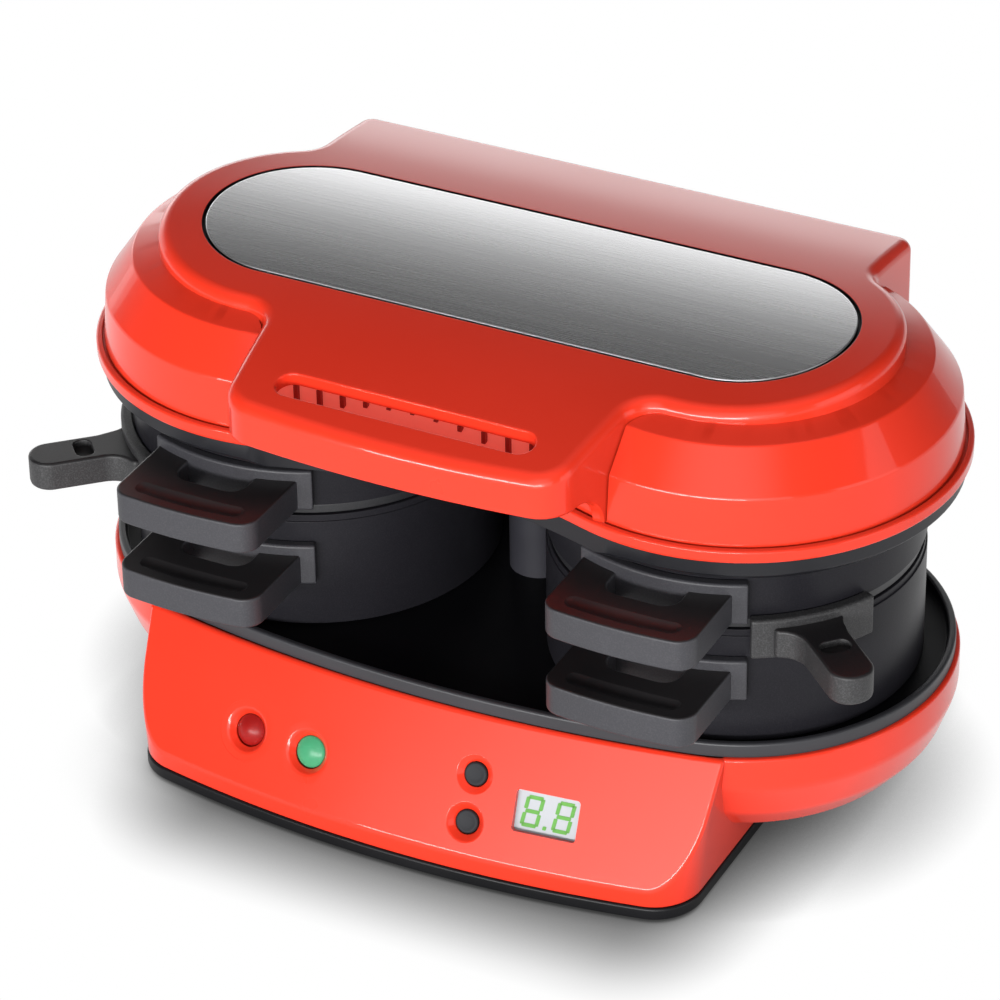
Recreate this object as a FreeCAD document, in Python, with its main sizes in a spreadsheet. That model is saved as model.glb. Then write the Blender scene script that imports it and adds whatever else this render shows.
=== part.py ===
"""Two-station breakfast sandwich maker: base, hinged lid, stacked rings and swinging plates.

Millimetres, +Z up, front towards -Y.  The origin lies on the table under the middle of the
object's box, and the pieces are drawn about the middle of the lid, which is depth_shift behind it.
"""
import FreeCAD, Part
import math
import os
import re

import Sketcher

SIZES = {
    # stations: the middle of each ring stack
    "station_x": 68.8,
    "ring_offset": 3.0,
    # foot cover and rubber feet
    "foot_lift": 1.0,
    "foot_pad_radius": 7.0,
    "foot_pad_sink": 1.5,
    "foot_pad_inset": 18.0,
    "front_pad_inset": 27.0,
    "cover_height": 4.0,
    "foot_half_width": 89.8,
    "foot_front": 91.0,
    "foot_bow": 405.0,
    "foot_back": 68.0,
    "foot_corner": 12.0,
    "foot_corner_run": 11.4,
    "cover_screw_inset": 9.0,
    "front_screw_inset": 21.6,
    "screw_radius": 1.6,
    "screw_head_radius": 3.2,
    "screw_head_height": 1.8,
    "cover_screw_length": 12.0,
    # housing with its leaning front panel and two wings
    "housing_top": 46.4,
    "housing_wall": 2.6,
    "housing_inset": 0.3,
    "room_half_width": 71.8,
    "room_front": 55.0,
    "room_back": 50.0,
    "panel_top_half_width": 95.0,
    "panel_top_front": 71.2,
    "panel_top_bow": 434.0,
    "wing_radius": 64.6,
    "wing_front": 71.0,
    "wing_shoulder_height": 36.0,
    "wing_waist_height": 25.0,
    "wing_waist_inset": 4.0,
    "wing_floor_height": 15.5,
    "wing_floor_inset": 12.0,
    "wing_cavity_floor": 20.0,
    # drip tray
    "tray_radius": 63.3,
    "tray_front": 70.0,
    "tray_height": 4.6,
    "tray_floor": 1.6,
    "tray_wall": 2.2,
    "tray_notch_gap": 0.3,
    # rings and cooking plates
    "ring_radius": 55.0,
    "ring_wall": 2.2,
    "ring_lip": 1.0,
    "ring_lift": 0.6,
    "lower_ring_top": 85.8,
    "plate_gap": 0.4,
    "plate_thick": 3.0,
    "plate_radius": 54.0,
    "upper_ring_height": 15.0,
    # rear hinge
    "hinge_y": 62.0,
    "hinge_z": 97.0,
    "rod_radius": 2.5,
    "rod_end": 3.0,
    "pivot_fit": 0.05,
    "knuckle_radius": 5.5,
    "knuckle_width": 8.0,
    "knuckle_gap": 0.3,
    "arm_half": 4.4,
    "arm_waist": 4.9,
    "arm_heel": 3.3,
    "arm_root_drop": 18.7,
    "post_width": 8.0,
    "post_depth": 12.0,
    "tower_end": 0.1,
    "tower_web": 4.0,
    "tower_web_top": 78.0,
    "column_half_width": 9.0,
    "column_front": 2.0,
    "column_top": 90.0,
    # swing pivot of the cooking plates
    "swing_reach": 60.5,
    "swing_angle": 60.0,
    "swing_pin_radius": 2.4,
    "swing_ear_radius": 5.0,
    "swing_ear_root": 6.5,
    "swing_head_radius": 4.0,
    "swing_head_height": 2.2,
    "swing_head_gap": 0.3,
    "ear_bottom": 92.0,
    "ear_height": 6.0,
    # front handles of the rings
    "handle_width": 46.0,
    "grip_depth": 16.1,
    "grip_overlap": 11.0,
    "handle_bow": 160.0,
    "handle_corner": 6.0,
    "handle_thick": 9.8,
    "handle_round": 1.2,
    "upper_handle_top": 99.7,
    "lower_handle_top": 74.2,
    "notch_width": 22.0,
    "finger_gap": 8.3,
    "notch_corner": 5.0,
    "bracket_half_width": 25.5,
    "bracket_thick": 3.2,
    "bracket_rise": 3.2,
    "bracket_drop": 0.2,
    "handle_seat": 0.05,
    # handles of the cooking plates
    "bar_angle": 43.0,
    "bar_reach": 88.0,
    "bar_width": 13.0,
    "bar_top": 88.5,
    "bar_thick": 9.2,
    "bar_root": 8.0,
    "flange_angle": 18.5,
    "flange_gap": 0.8,
    "flange_thick": 3.0,
    "flange_top": 91.2,
    "flange_height": 12.8,
    "dimple_length": 5.5,
    "dimple_width": 9.0,
    "dimple_depth": 2.0,
    "dimple_reach": 71.5,
    "tab_width": 14.0,
    # heaters
    "heater_radius": 45.0,
    "heater_height": 2.8,
    "heater_boss_radius": 40.5,
    "heater_boss_depth": 8.0,
    "heater_hole_gap": 0.4,
    "heater_edge": 1.2,
    "element_ring": 30.0,
    "element_tube": 3.2,
    "element_open": 40.0,
    "thermostat_radius": 7.0,
    "thermostat_height": 9.0,
    "upper_heater_face": 101.5,
    "upper_heater_radius": 45.0,
    "collar_radius": 47.6,
    # lid
    "skirt_bottom": 106.2,
    "skirt_radius": 64.4,
    "skirt_edge": 2.0,
    "rim_bottom": 113.2,
    "rim_radius": 66.1,
    "rim_height": 3.8,
    "rim_step": 0.8,
    "wall_radius": 63.7,
    "wall_top_radius": 62.5,
    "wall_drop": 21.5,
    "crease_radius": 54.0,
    "crease_drop": 9.4,
    "ledge_drop": 7.0,
    "deck_radius": 46.0,
    "deck_round": 4.0,
    "lid_height": 39.8,
    "crown_y": 8.8,
    "crown_radius": 399.0,
    "lid_cavity_radius": 50.0,
    "lid_cavity_drop": 17.0,
    "tongue_root": 57.0,
    "tongue_tip": 52.5,
    "tongue_front": 89.0,
    "tongue_bow": 420.0,
    "tongue_drop": 24.2,
    "tongue_corner": 11.0,
    "tongue_cove": 9.0,
    "web_thick": 3.6,
    "web_inset": 5.0,
    "web_reach": 12.6,
    "web_bend": 13.5,
    "rear_half_width": 91.0,
    "rear_back": 72.6,
    "rear_drop": 27.9,
    "rear_corner": 4.0,
    "rear_cove": 9.0,
    "slot_half_length": 40.0,
    "slot_width": 7.0,
    "slot_y": 76.5,
    "slot_depth": 8.0,
    "rib_thick": 1.4,
    "rib_height": 5.0,
    "rib_count": 12,
    "inlay_half_length": 69.9,
    "inlay_radius": 32.0,
    "inlay_gap": 0.4,
    "inlay_thick": 0.9,
    "inlay_sink": 0.3,
    "lid_screw_ring": 57.0,
    "lid_screw_length": 16.0,
    # front panel controls
    "lamp_height": 24.3,
    "red_lamp_x": -52.7,
    "green_lamp_x": -31.4,
    "lamp_radius": 4.7,
    "lamp_dish": 1.2,
    "lamp_dome": 1.6,
    "lamp_flange": 1.4,
    "lamp_depth": 6.0,
    "button_x": 21.8,
    "upper_button_height": 31.2,
    "lower_button_height": 18.4,
    "button_radius": 3.5,
    "button_gap": 0.25,
    "button_dish": 1.5,
    "button_flange": 1.1,
    "button_stem_radius": 1.5,
    "display_x": 45.1,
    "display_height": 24.7,
    "display_width": 19.4,
    "display_rise": 12.2,
    "display_sink": 1.0,
    "window_thick": 1.2,
    "control_gap": 0.2,
    "board_left": 37.0,
    "board_right": 17.0,
    "board_rise": 24.0,
    "board_thick": 1.6,
    "board_depth": 10.6,
    "switch_size": 6.0,
    "switch_height": 3.2,
    # cord gland
    "gland_x": 45.0,
    "gland_z": 16.0,
    "gland_radius": 6.5,
    "gland_bore": 3.6,
    "gland_length": 9.0,
    "gland_flange": 2.0,
}

DOC = FreeCAD.newDocument("sandwich_maker")
SHEET = DOC.addObject("Spreadsheet::Sheet", "sizes")
ALIASES = re.compile(r"\b(%s)\b" % "|".join(sorted(SIZES, key=len, reverse=True)))
SUB_PARTS = []
SIDES = {"left": -1, "right": 1}
EPS = 1e-4
UPRIGHT = 0.98

# places that several pieces share, written in terms of the sizes
SHIFT_Y = "((foot_front - rear_back) / 2)"
COVER_TOP = "(foot_lift + cover_height)"
PANEL_FOOT = "(foot_front - housing_inset)"
TRAY_TOP = "(housing_top + tray_height)"
TRAY_FLOOR = "(housing_top + tray_floor)"
RING_BOTTOM = "(housing_top + tray_floor + ring_lift)"
PLATE_BOTTOM = "(lower_ring_top + plate_gap)"
PLATE_TOP = "(lower_ring_top + plate_gap + plate_thick)"
UPPER_BOTTOM = "(lower_ring_top + 2 * plate_gap + plate_thick)"
UPPER_TOP = "(lower_ring_top + 2 * plate_gap + plate_thick + upper_ring_height)"
HINGE_REACH = "(hinge_y + ring_offset)"
KNUCKLE_STEP = "(knuckle_width + knuckle_gap)"
POST_STEP = "(1.5 * knuckle_width + 2 * knuckle_gap + post_width / 2)"
POST_END = "(station_x + 1.5 * knuckle_width + 2 * knuckle_gap + post_width)"
TOWER_HALF = "(station_x + 1.5 * knuckle_width + 2 * knuckle_gap + post_width + tower_end)"
BOSS_BOTTOM = "(housing_top + tray_floor - heater_boss_depth)"
RIM_TOP = "(rim_bottom + rim_height)"
CROWN = "(rim_bottom + lid_height)"
LEDGE = "(rim_bottom + lid_height - ledge_drop)"
CREASE = "(rim_bottom + lid_height - crease_drop)"
WALL_TOP = "(rim_bottom + lid_height - wall_drop)"
CAVITY_TOP = "(rim_bottom + lid_height - lid_cavity_drop)"
TONGUE_BOTTOM = "(rim_bottom + lid_height - tongue_drop)"
REAR_BOTTOM = "(rim_bottom + lid_height - rear_drop)"
SLOT_FLOOR = "(rim_bottom + lid_height - tongue_drop + slot_depth / 2)"
NOTCH_REACH = "(ring_radius + bracket_thick + finger_gap)"
HANDLE_REACH = "(ring_radius + bracket_thick + finger_gap + grip_depth)"


def fill_sheet():
    """Write every driving size into the sheet, one named cell each."""
    for row, (name, number) in enumerate(SIZES.items(), start=1):
        SHEET.set("A%d" % row, name)
        SHEET.set("B%d" % row, str(number))
        SHEET.setAlias("B%d" % row, name)
    DOC.recompute()


def value(text):
    """Number that an expression in sizes comes to."""
    return float(SHEET.evalExpression(str(text)))


def bind(item, prop, text):
    """Tie a property to an expression in sizes."""
    item.setExpression(prop, ALIASES.sub(r"sizes.\1", str(text)))


def new_body(name):
    """Empty body with its own origin."""
    return DOC.addObject("PartDesign::Body", name)


def place(item, x="0", y="0", z="0"):
    """Stand a piece at a point of the lid-centred frame."""
    bind(item, "Placement.Base.x", x)
    bind(item, "Placement.Base.y", "%s + %s" % (SHIFT_Y, y))
    bind(item, "Placement.Base.z", z)


def keep(item, label):
    """List a finished piece under the name of its file."""
    item.Label = label
    SUB_PARTS.append(item)
    return item


def outline(body, plane, corners, lift="0", slide="0"):
    """Closed sketch through corners; a third text is the radius of the arc to the next corner.

    A radius that starts with a minus turns the arc the other way round.
    """
    sketch = body.newObject("Sketcher::SketchObject", body.Name + "_outline")
    support = [item for item in body.Origin.OriginFeatures if item.Role == plane][0]
    sketch.AttachmentSupport = [(support, "")]
    sketch.MapMode = "FlatFace"
    bind(sketch, "AttachmentOffset.Base.z", lift)
    bind(sketch, "AttachmentOffset.Base.x", slide)
    points = [FreeCAD.Vector(value(c[0]), value(c[1]), 0) for c in corners]
    ends = []
    for index, corner in enumerate(corners):
        start, stop = points[index], points[(index + 1) % len(points)]
        ends.append(add_segment(sketch, start, stop, corner[2] if len(corner) > 2 else None))
    for index, (geo, _first, last) in enumerate(ends):
        geo_next, first_next, _last = ends[(index + 1) % len(ends)]
        sketch.addConstraint(Sketcher.Constraint("Coincident", geo, last, geo_next, first_next))
    for (geo, first, _last), corner, point in zip(ends, corners, points):
        across = sketch.addConstraint(Sketcher.Constraint("DistanceX", -1, 1, geo, first, point.x))
        bind(sketch, "Constraints[%d]" % across, corner[0])
        along = sketch.addConstraint(Sketcher.Constraint("DistanceY", -1, 1, geo, first, point.y))
        bind(sketch, "Constraints[%d]" % along, corner[1])
        if len(corner) > 2:
            radius = corner[2].lstrip("-")
            bend = sketch.addConstraint(Sketcher.Constraint("Radius", geo, value(radius)))
            bind(sketch, "Constraints[%d]" % bend, radius)
    return sketch


def add_segment(sketch, start, stop, radius):
    """Line or arc of a sketch, with the numbers of its first and last point."""
    if radius is None:
        return sketch.addGeometry(Part.LineSegment(start, stop), False), 1, 2
    turn = -1 if radius.startswith("-") else 1
    reach = value(radius.lstrip("-"))
    chord = stop - start
    half = chord.Length / 2
    left = FreeCAD.Vector(-chord.y, chord.x, 0).normalize()
    centre = (start + stop) * 0.5 + left * (turn * math.sqrt(max(reach ** 2 - half ** 2, 0)))
    angles = [math.atan2(p.y - centre.y, p.x - centre.x) for p in (start, stop)]
    if turn < 0:
        angles.reverse()
    circle = Part.Circle(centre, FreeCAD.Vector(0, 0, 1), reach)
    geo = sketch.addGeometry(Part.ArcOfCircle(circle, angles[0], angles[1]), False)
    return (geo, 1, 2) if turn > 0 else (geo, 2, 1)


def round_sketch(body, plane, radius, x="0", y="0", lift="0"):
    """Sketch of one circle."""
    sketch = body.newObject("Sketcher::SketchObject", body.Name + "_circle")
    support = [item for item in body.Origin.OriginFeatures if item.Role == plane][0]
    sketch.AttachmentSupport = [(support, "")]
    sketch.MapMode = "FlatFace"
    bind(sketch, "AttachmentOffset.Base.z", lift)
    centre = FreeCAD.Vector(value(x), value(y), 0)
    geo = sketch.addGeometry(Part.Circle(centre, FreeCAD.Vector(0, 0, 1), value(radius)), False)
    for kind, text, number in (("DistanceX", x, centre.x), ("DistanceY", y, centre.y)):
        spot = sketch.addConstraint(Sketcher.Constraint(kind, -1, 1, geo, 3, number))
        bind(sketch, "Constraints[%d]" % spot, text)
    size = sketch.addConstraint(Sketcher.Constraint("Radius", geo, value(radius)))
    bind(sketch, "Constraints[%d]" % size, radius)
    return sketch


def pad(body, sketch, length, both_ways=False):
    """Add a prism on a sketch."""
    feature = body.newObject("PartDesign::Pad", body.Name + "_pad")
    feature.Profile = sketch
    feature.SideType = "Symmetric" if both_ways else "One side"
    bind(feature, "Length", length)
    return feature


def pocket(body, sketch, length, both_ways=False, upward=True):
    """Cut a prism on a sketch, upward along its normal unless told otherwise."""
    before = body.Shape.Volume if DOC.recompute() is not None else 0
    feature = body.newObject("PartDesign::Pocket", body.Name + "_pocket")
    feature.Profile = sketch
    feature.SideType = "Symmetric" if both_ways else "One side"
    feature.Reversed = upward and not both_ways
    bind(feature, "Length", length)
    DOC.recompute()
    if body.Shape.Volume > before - EPS:
        raise RuntimeError("a pocket of %s cut nothing" % body.Name)
    return feature


def revolve(body, sketch):
    """Add the full turn of a profile about its own upright axis."""
    feature = body.newObject("PartDesign::Revolution", body.Name + "_turn")
    feature.Profile = sketch
    feature.ReferenceAxis = (sketch, ["V_Axis"])
    feature.Angle = 360
    return feature


def soften(body, radius, chosen):
    """Round the edges of the body that a test picks."""
    DOC.recompute()
    base = body.Tip
    names = ["Edge%d" % (i + 1) for i, edge in enumerate(base.Shape.Edges) if chosen(edge)]
    feature = body.newObject("PartDesign::Fillet", body.Name + "_round")
    feature.Base = (base, names)
    bind(feature, "Radius", radius)
    return feature


def rectangle(x0, y0, x1, y1):
    """Corners of a rectangle."""
    return [(x0, y0), (x1, y0), (x1, y1), (x0, y1)]


def stadium(half, radius):
    """Corners of a slot shape with two round ends."""
    return [("-(%s)" % half, "-(%s)" % radius),
            (half, "-(%s)" % radius, radius), ("%s + %s" % (half, radius), "0", radius),
            (half, radius),
            ("-(%s)" % half, radius, radius), ("-(%s + %s)" % (half, radius), "0", radius)]


def bowed_stadium(radius, front):
    """Corners of the tray's plan: round ends joined by a straight back and a bowed front."""
    bow = "((station_x^2 + (%s)^2 - (%s)^2) / (2 * ((%s) - (%s))))" % (front, radius, front, radius)
    span = "sqrt(station_x^2 + (%s - (%s))^2)" % (bow, front)
    touch_x = "(station_x + (%s) * station_x / %s)" % (radius, span)
    touch_y = "(-(%s) * (%s - (%s)) / %s)" % (radius, bow, front, span)
    return [("-" + touch_x, touch_y, bow),
            (touch_x, touch_y, radius), ("station_x + %s" % radius, "0", radius),
            ("station_x", radius),
            ("-station_x", radius, radius), ("-(station_x + %s)" % radius, "0", radius)]


def pedestal(half, front, bow, back, corner):
    """Corners of the base's foot: bowed front, straight sides and back, rounded front corners."""
    side_y = "(-(%s) + (%s) - sqrt((%s)^2 - (%s)^2) + (%s))" % (front, bow, bow, half, corner)
    near = "((%s) - foot_corner_run)" % half
    near_y = "(-(%s) + (%s) - sqrt((%s)^2 - %s^2))" % (front, bow, bow, near)
    return [("-" + near, near_y, bow), (near, near_y, corner), (half, side_y), (half, back),
            ("-(%s)" % half, back), ("-(%s)" % half, side_y, corner)]


def ring_profile(radius, wall, bottom, top):
    """Corners of a ring's wall in section."""
    return rectangle("(%s) - (%s)" % (radius, wall), bottom, radius, top)


def add_stadium(body, half, profile):
    """Add a slot-shaped moulding: a half section turned at both ends and run between them."""
    for end in ("-(%s)" % half, half):
        revolve(body, outline(body, "XZ_Plane", profile, slide=end))
    mirrored = [("-(%s)" % r, z) for r, z in reversed(profile[1:-1])]
    section = outline(body, "YZ_Plane", profile[1:-1] + mirrored)
    pad(body, section, "2 * (%s)" % half, both_ways=True)


def cylinder(name, radius, height):
    """Plain round bar, standing at the origin."""
    bar = DOC.addObject("Part::Cylinder", name)
    bind(bar, "Radius", radius)
    bind(bar, "Height", height)
    return bar


def box(name, length, width, height):
    """Plain block with a corner at the origin."""
    block = DOC.addObject("Part::Box", name)
    bind(block, "Length", length)
    bind(block, "Width", width)
    bind(block, "Height", height)
    return block


def joined(name, items):
    """Union of several shapes."""
    union = DOC.addObject("Part::MultiFuse", name)
    union.Shapes = items
    return union


def cut(name, base, tool):
    """One shape less another."""
    rest = DOC.addObject("Part::Cut", name)
    rest.Base = base
    rest.Tool = tool
    return rest


def group(name, items):
    """Separate solids that share one node."""
    bundle = DOC.addObject("Part::Compound", name)
    bundle.Links = items
    return bundle


def upright(edge):
    """Whether an edge stands along Z."""
    if len(edge.Vertexes) < 2:
        return False
    run = edge.Vertexes[1].Point - edge.Vertexes[0].Point
    return run.Length > EPS and abs(run.z) > UPRIGHT * run.Length


def panel_frame(x_text, z_text):
    """Place on the leaning, bowed front panel: local Z points out of it, local X along it."""
    x, z = value(x_text), value(z_text)
    low, high = value(COVER_TOP), value("housing_top")

    def surface(across, height):
        share = (height - low) / (high - low)
        front = value(PANEL_FOOT) + share * (value("panel_top_front") - value(PANEL_FOOT))
        bow = value("foot_bow") + share * (value("panel_top_bow") - value("foot_bow"))
        return FreeCAD.Vector(across, -front + bow - math.sqrt(bow ** 2 - across ** 2), height)

    spot = surface(x, z)
    along = (surface(x + 1, z) - surface(x - 1, z)).normalize()
    rise = (surface(x, z + 1) - surface(x, z - 1)).normalize()
    out = along.cross(rise).normalize()
    spot.y += value(SHIFT_Y)
    return FreeCAD.Placement(spot, FreeCAD.Rotation(along, out.cross(along), out, "ZXY"))


def on_panel(item, frame, x=0.0, y=0.0, z=0.0):
    """Set a plain piece on a place of the front panel, offset in that place's own axes."""
    item.Placement = frame.multiply(FreeCAD.Placement(FreeCAD.Vector(x, y, z), FreeCAD.Rotation()))
    return item


def corner_spots(front_inset, back_inset):
    """Side sign and depth of the four places near the corners of the foot."""
    return [(sign, y) for sign in ("-1", "1")
            for y in ("-(foot_front - %s)" % front_inset, "(foot_back - %s)" % back_inset)]


def build_bottom_cover():
    """Black foot plate with its screws and rubber feet."""
    body = new_body("bottom_cover_body")
    foot = pedestal("foot_half_width", "foot_front", "foot_bow", "foot_back", "foot_corner")
    pad(body, outline(body, "XY_Plane", foot, lift="foot_lift"), "cover_height")
    pads, screws = [], []
    for index, (sign, y) in enumerate(corner_spots("front_pad_inset", "foot_pad_inset")):
        x = "%s * (foot_half_width - foot_pad_inset)" % sign
        seat = round_sketch(body, "XY_Plane", "foot_pad_radius", x, y, lift="foot_lift")
        pocket(body, seat, "foot_pad_sink")
        disc = cylinder("foot_pad_%d" % index, "foot_pad_radius", "foot_lift + foot_pad_sink")
        place(disc, x, y)
        pads.append(disc)
    for index, (sign, y) in enumerate(corner_spots("front_screw_inset", "cover_screw_inset")):
        x = "%s * (foot_half_width - cover_screw_inset)" % sign
        pocket(body, round_sketch(body, "XY_Plane", "screw_head_radius", x, y, lift="foot_lift"),
               "screw_head_height")
        pocket(body, round_sketch(body, "XY_Plane", "screw_radius", x, y, lift="foot_lift"), "cover_height")
        head = cylinder("cover_screw_head_%d" % index, "screw_head_radius", "screw_head_height")
        place(head, x, y, "foot_lift")
        shank = cylinder("cover_screw_shank_%d" % index, "screw_radius", "cover_screw_length")
        place(shank, x, y, "foot_lift")
        screws.append(joined("cover_screw_%d" % index, [head, shank]))
    place(body)
    keep(body, "bottom_cover")
    keep(group("feet", pads), "rubber_feet")
    keep(group("cover_screws", screws), "base_screws")


def build_housing(holes):
    """Red base moulding: leaning pedestal, two wings, hollow inside, pierced for the controls."""
    body = new_body("housing_body")
    loft_between(body, [
        outline(body, "XY_Plane", pedestal("(foot_half_width - housing_inset)", PANEL_FOOT, "foot_bow",
                                           "foot_back - housing_inset", "foot_corner"), lift=COVER_TOP),
        outline(body, "XY_Plane", pedestal("panel_top_half_width", "panel_top_front", "panel_top_bow",
                                           "foot_back", "foot_corner"), lift="housing_top")])
    sections = [("wing_floor_inset", "wing_floor_height"), ("wing_waist_inset", "wing_waist_height"),
                ("0", "wing_shoulder_height"), ("0", "housing_top")]
    loft_between(body, [outline(body, "XY_Plane", bowed_stadium("(wing_radius - %s)" % inset,
                                                                "(wing_front - %s)" % inset), lift=height)
                        for inset, height in sections])
    well = bowed_stadium("(wing_radius - wing_floor_inset - housing_wall)",
                         "(wing_front - wing_floor_inset - housing_wall)")
    pocket(body, outline(body, "XY_Plane", well, lift="wing_cavity_floor"), "housing_top")
    room = rectangle("-room_half_width", "-room_front", "room_half_width", "room_back")
    pocket(body, outline(body, "XY_Plane", room, lift="foot_lift"), "housing_top")
    loft_cut(body, [outline(body, "XY_Plane", panel_room(front, bow), lift=height)
                    for front, bow, height in ((PANEL_FOOT, "foot_bow", COVER_TOP),
                                               ("panel_top_front", "panel_top_bow", "housing_top"))])
    for sign, y in corner_spots("front_screw_inset", "cover_screw_inset"):
        x = "%s * (foot_half_width - cover_screw_inset)" % sign
        pocket(body, round_sketch(body, "XY_Plane", "screw_radius", x, y, lift=COVER_TOP),
               "cover_screw_length - cover_height")
    place(body)
    bore = cylinder("gland_hole", "gland_radius", "4 * gland_length")
    lay_along_y(bore, "gland_x", "foot_back - 3 * gland_length", "gland_z")
    keep(cut("housing", body, joined("housing_holes", holes + [bore])), "base_housing")


def panel_room(front, bow):
    """Corners of the room behind the front panel at one height."""
    half = "room_half_width"
    edge = "(-(%s) + (%s) + housing_wall - sqrt((%s)^2 - %s^2))" % (front, bow, bow, half)
    return [("-" + half, edge, bow), (half, edge), (half, "0"), ("-" + half, "0")]


def loft_between(body, sketches):
    """Add a straight-sided moulding through sections."""
    feature = body.newObject("PartDesign::AdditiveLoft", body.Name + "_loft")
    feature.Profile = sketches[0]
    feature.Sections = sketches[1:]
    feature.Ruled = True
    return feature


def loft_cut(body, sketches):
    """Cut a straight-sided hollow through sections."""
    feature = body.newObject("PartDesign::SubtractiveLoft", body.Name + "_hollow")
    feature.Profile = sketches[0]
    feature.Sections = sketches[1:]
    feature.Ruled = True
    return feature


def lay_along_y(item, x, y, z):
    """Lay a round bar along Y from a point."""
    item.Placement.Rotation = FreeCAD.Rotation(FreeCAD.Vector(1, 0, 0), -90)
    place(item, x, y, z)


def lay_along_x(item, x, y, z):
    """Lay a round bar along X from a point."""
    item.Placement.Rotation = FreeCAD.Rotation(FreeCAD.Vector(0, 1, 0), 90)
    place(item, x, y, z)


def build_gland():
    """Bush for the power lead at the back of the base."""
    sleeve = cylinder("gland_sleeve", "gland_radius", "gland_length")
    lay_along_y(sleeve, "gland_x", "foot_back - gland_length", "gland_z")
    flange = cylinder("gland_rim", "gland_radius + gland_flange", "gland_flange")
    lay_along_y(flange, "gland_x", "foot_back", "gland_z")
    bore = cylinder("gland_bore_tool", "gland_bore", "4 * gland_length")
    lay_along_y(bore, "gland_x", "foot_back - 2 * gland_length", "gland_z")
    keep(cut("gland", joined("gland_block", [sleeve, flange]), bore), "cord_gland")


def build_tray():
    """Black drip tray with a raised rim and a round opening for each heater."""
    body = new_body("tray_body")
    pad(body, outline(body, "XY_Plane", bowed_stadium("tray_radius", "tray_front"), lift="housing_top"),
        "tray_height")
    inner = bowed_stadium("(tray_radius - tray_wall)", "(tray_front - tray_wall)")
    pocket(body, outline(body, "XY_Plane", inner, lift=TRAY_FLOOR), "tray_height")
    for sign in ("-1", "1"):
        hole = round_sketch(body, "XY_Plane", "heater_boss_radius + heater_hole_gap",
                            "%s * station_x" % sign, "-ring_offset", lift="housing_top")
        pocket(body, hole, "tray_height")
    reach = "(%s + tray_notch_gap)" % TOWER_HALF
    notch = rectangle("-" + reach, "hinge_y - post_depth / 2 - tray_notch_gap", reach, "2 * hinge_y")
    pocket(body, outline(body, "XY_Plane", notch, lift="housing_top"), "tray_height")
    place(body)
    keep(body, "drip_tray")


def build_tower():
    """Hinge tower: a sill behind the tray, four posts, a web and the column between the stacks."""
    body = new_body("tower_body")
    front, back = "(hinge_y - post_depth / 2)", "(hinge_y + post_depth / 2)"
    sill = rectangle("-" + TOWER_HALF, front, TOWER_HALF, back)
    pad(body, outline(body, "XY_Plane", sill, lift="housing_top"), "tray_height")
    post = [(front, "housing_top"), (back, "housing_top"), (back, "hinge_z", "post_depth / 2"),
            ("hinge_y", "hinge_z + post_depth / 2", "post_depth / 2"), (front, "hinge_z")]
    for side in SIDES.values():
        for end in ("-", "+"):
            x = "%d * station_x %s %s" % (side, end, POST_STEP)
            pad(body, outline(body, "YZ_Plane", post, lift=x), "post_width", both_ways=True)
    web = rectangle("-" + TOWER_HALF, "%s - tower_web" % back, TOWER_HALF, back)
    pad(body, outline(body, "XY_Plane", web, lift="housing_top"), "tower_web_top - housing_top")
    nose = "(-column_front + column_half_width)"
    column = [("-column_half_width", back), ("-column_half_width", nose, "column_half_width"),
              ("0", "-column_front", "column_half_width"), ("column_half_width", nose),
              ("column_half_width", back)]
    pad(body, outline(body, "XY_Plane", column, lift=TRAY_FLOOR), "column_top - %s" % TRAY_FLOOR)
    hole = round_sketch(body, "YZ_Plane", "rod_radius + pivot_fit", "hinge_y", "hinge_z")
    pocket(body, hole, "4 * station_x", both_ways=True)
    place(body)
    keep(body, "hinge_tower")
    rod = cylinder("rod", "rod_radius", "2 * (%s + rod_end)" % POST_END)
    lay_along_x(rod, "-(%s + rod_end)" % POST_END, "hinge_y", "hinge_z")
    keep(rod, "hinge_rod")


def add_knuckle(body, step, arm):
    """Add a hinge arm and its eye, beside the middle of a ring by a number of steps."""
    x = "%s * %s" % (step, KNUCKLE_STEP)
    pad(body, outline(body, "YZ_Plane", arm, lift=x), "knuckle_width", both_ways=True)
    pad(body, round_sketch(body, "YZ_Plane", "knuckle_radius", HINGE_REACH, "hinge_z", lift=x),
        "knuckle_width", both_ways=True)
    eye = round_sketch(body, "YZ_Plane", "rod_radius + pivot_fit", HINGE_REACH, "hinge_z", lift=x)
    pocket(body, eye, "knuckle_width", both_ways=True)


def build_lower_ring(side):
    """Lower ring with its hinge arm."""
    body = new_body("lower_ring_%s_body" % side)
    lip = "(lower_ring_top - ring_lip * 2)"
    wall = [("ring_radius - ring_wall", RING_BOTTOM), ("ring_radius", RING_BOTTOM), ("ring_radius", lip),
            ("ring_radius - ring_lip / 2", lip), ("ring_radius - ring_lip / 2", "lower_ring_top"),
            ("ring_radius - ring_wall", "lower_ring_top")]
    revolve(body, outline(body, "XZ_Plane", wall))
    root = "(ring_radius - ring_wall / 2)"
    clear = "(ring_radius + ring_wall / 2)"
    arm = [(root, "lower_ring_top - arm_root_drop"), (clear, "lower_ring_top - arm_root_drop"),
           ("%s + arm_half" % HINGE_REACH, "hinge_z - arm_heel"),
           (HINGE_REACH, "hinge_z"), ("%s - arm_waist" % HINGE_REACH, "hinge_z"),
           (clear, "lower_ring_top"), (root, "lower_ring_top - knuckle_radius")]
    add_knuckle(body, "-1", arm)
    place(body, "%d * station_x" % SIDES[side], "-ring_offset")
    keep(body, "lower_ring_%s" % side)


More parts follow.
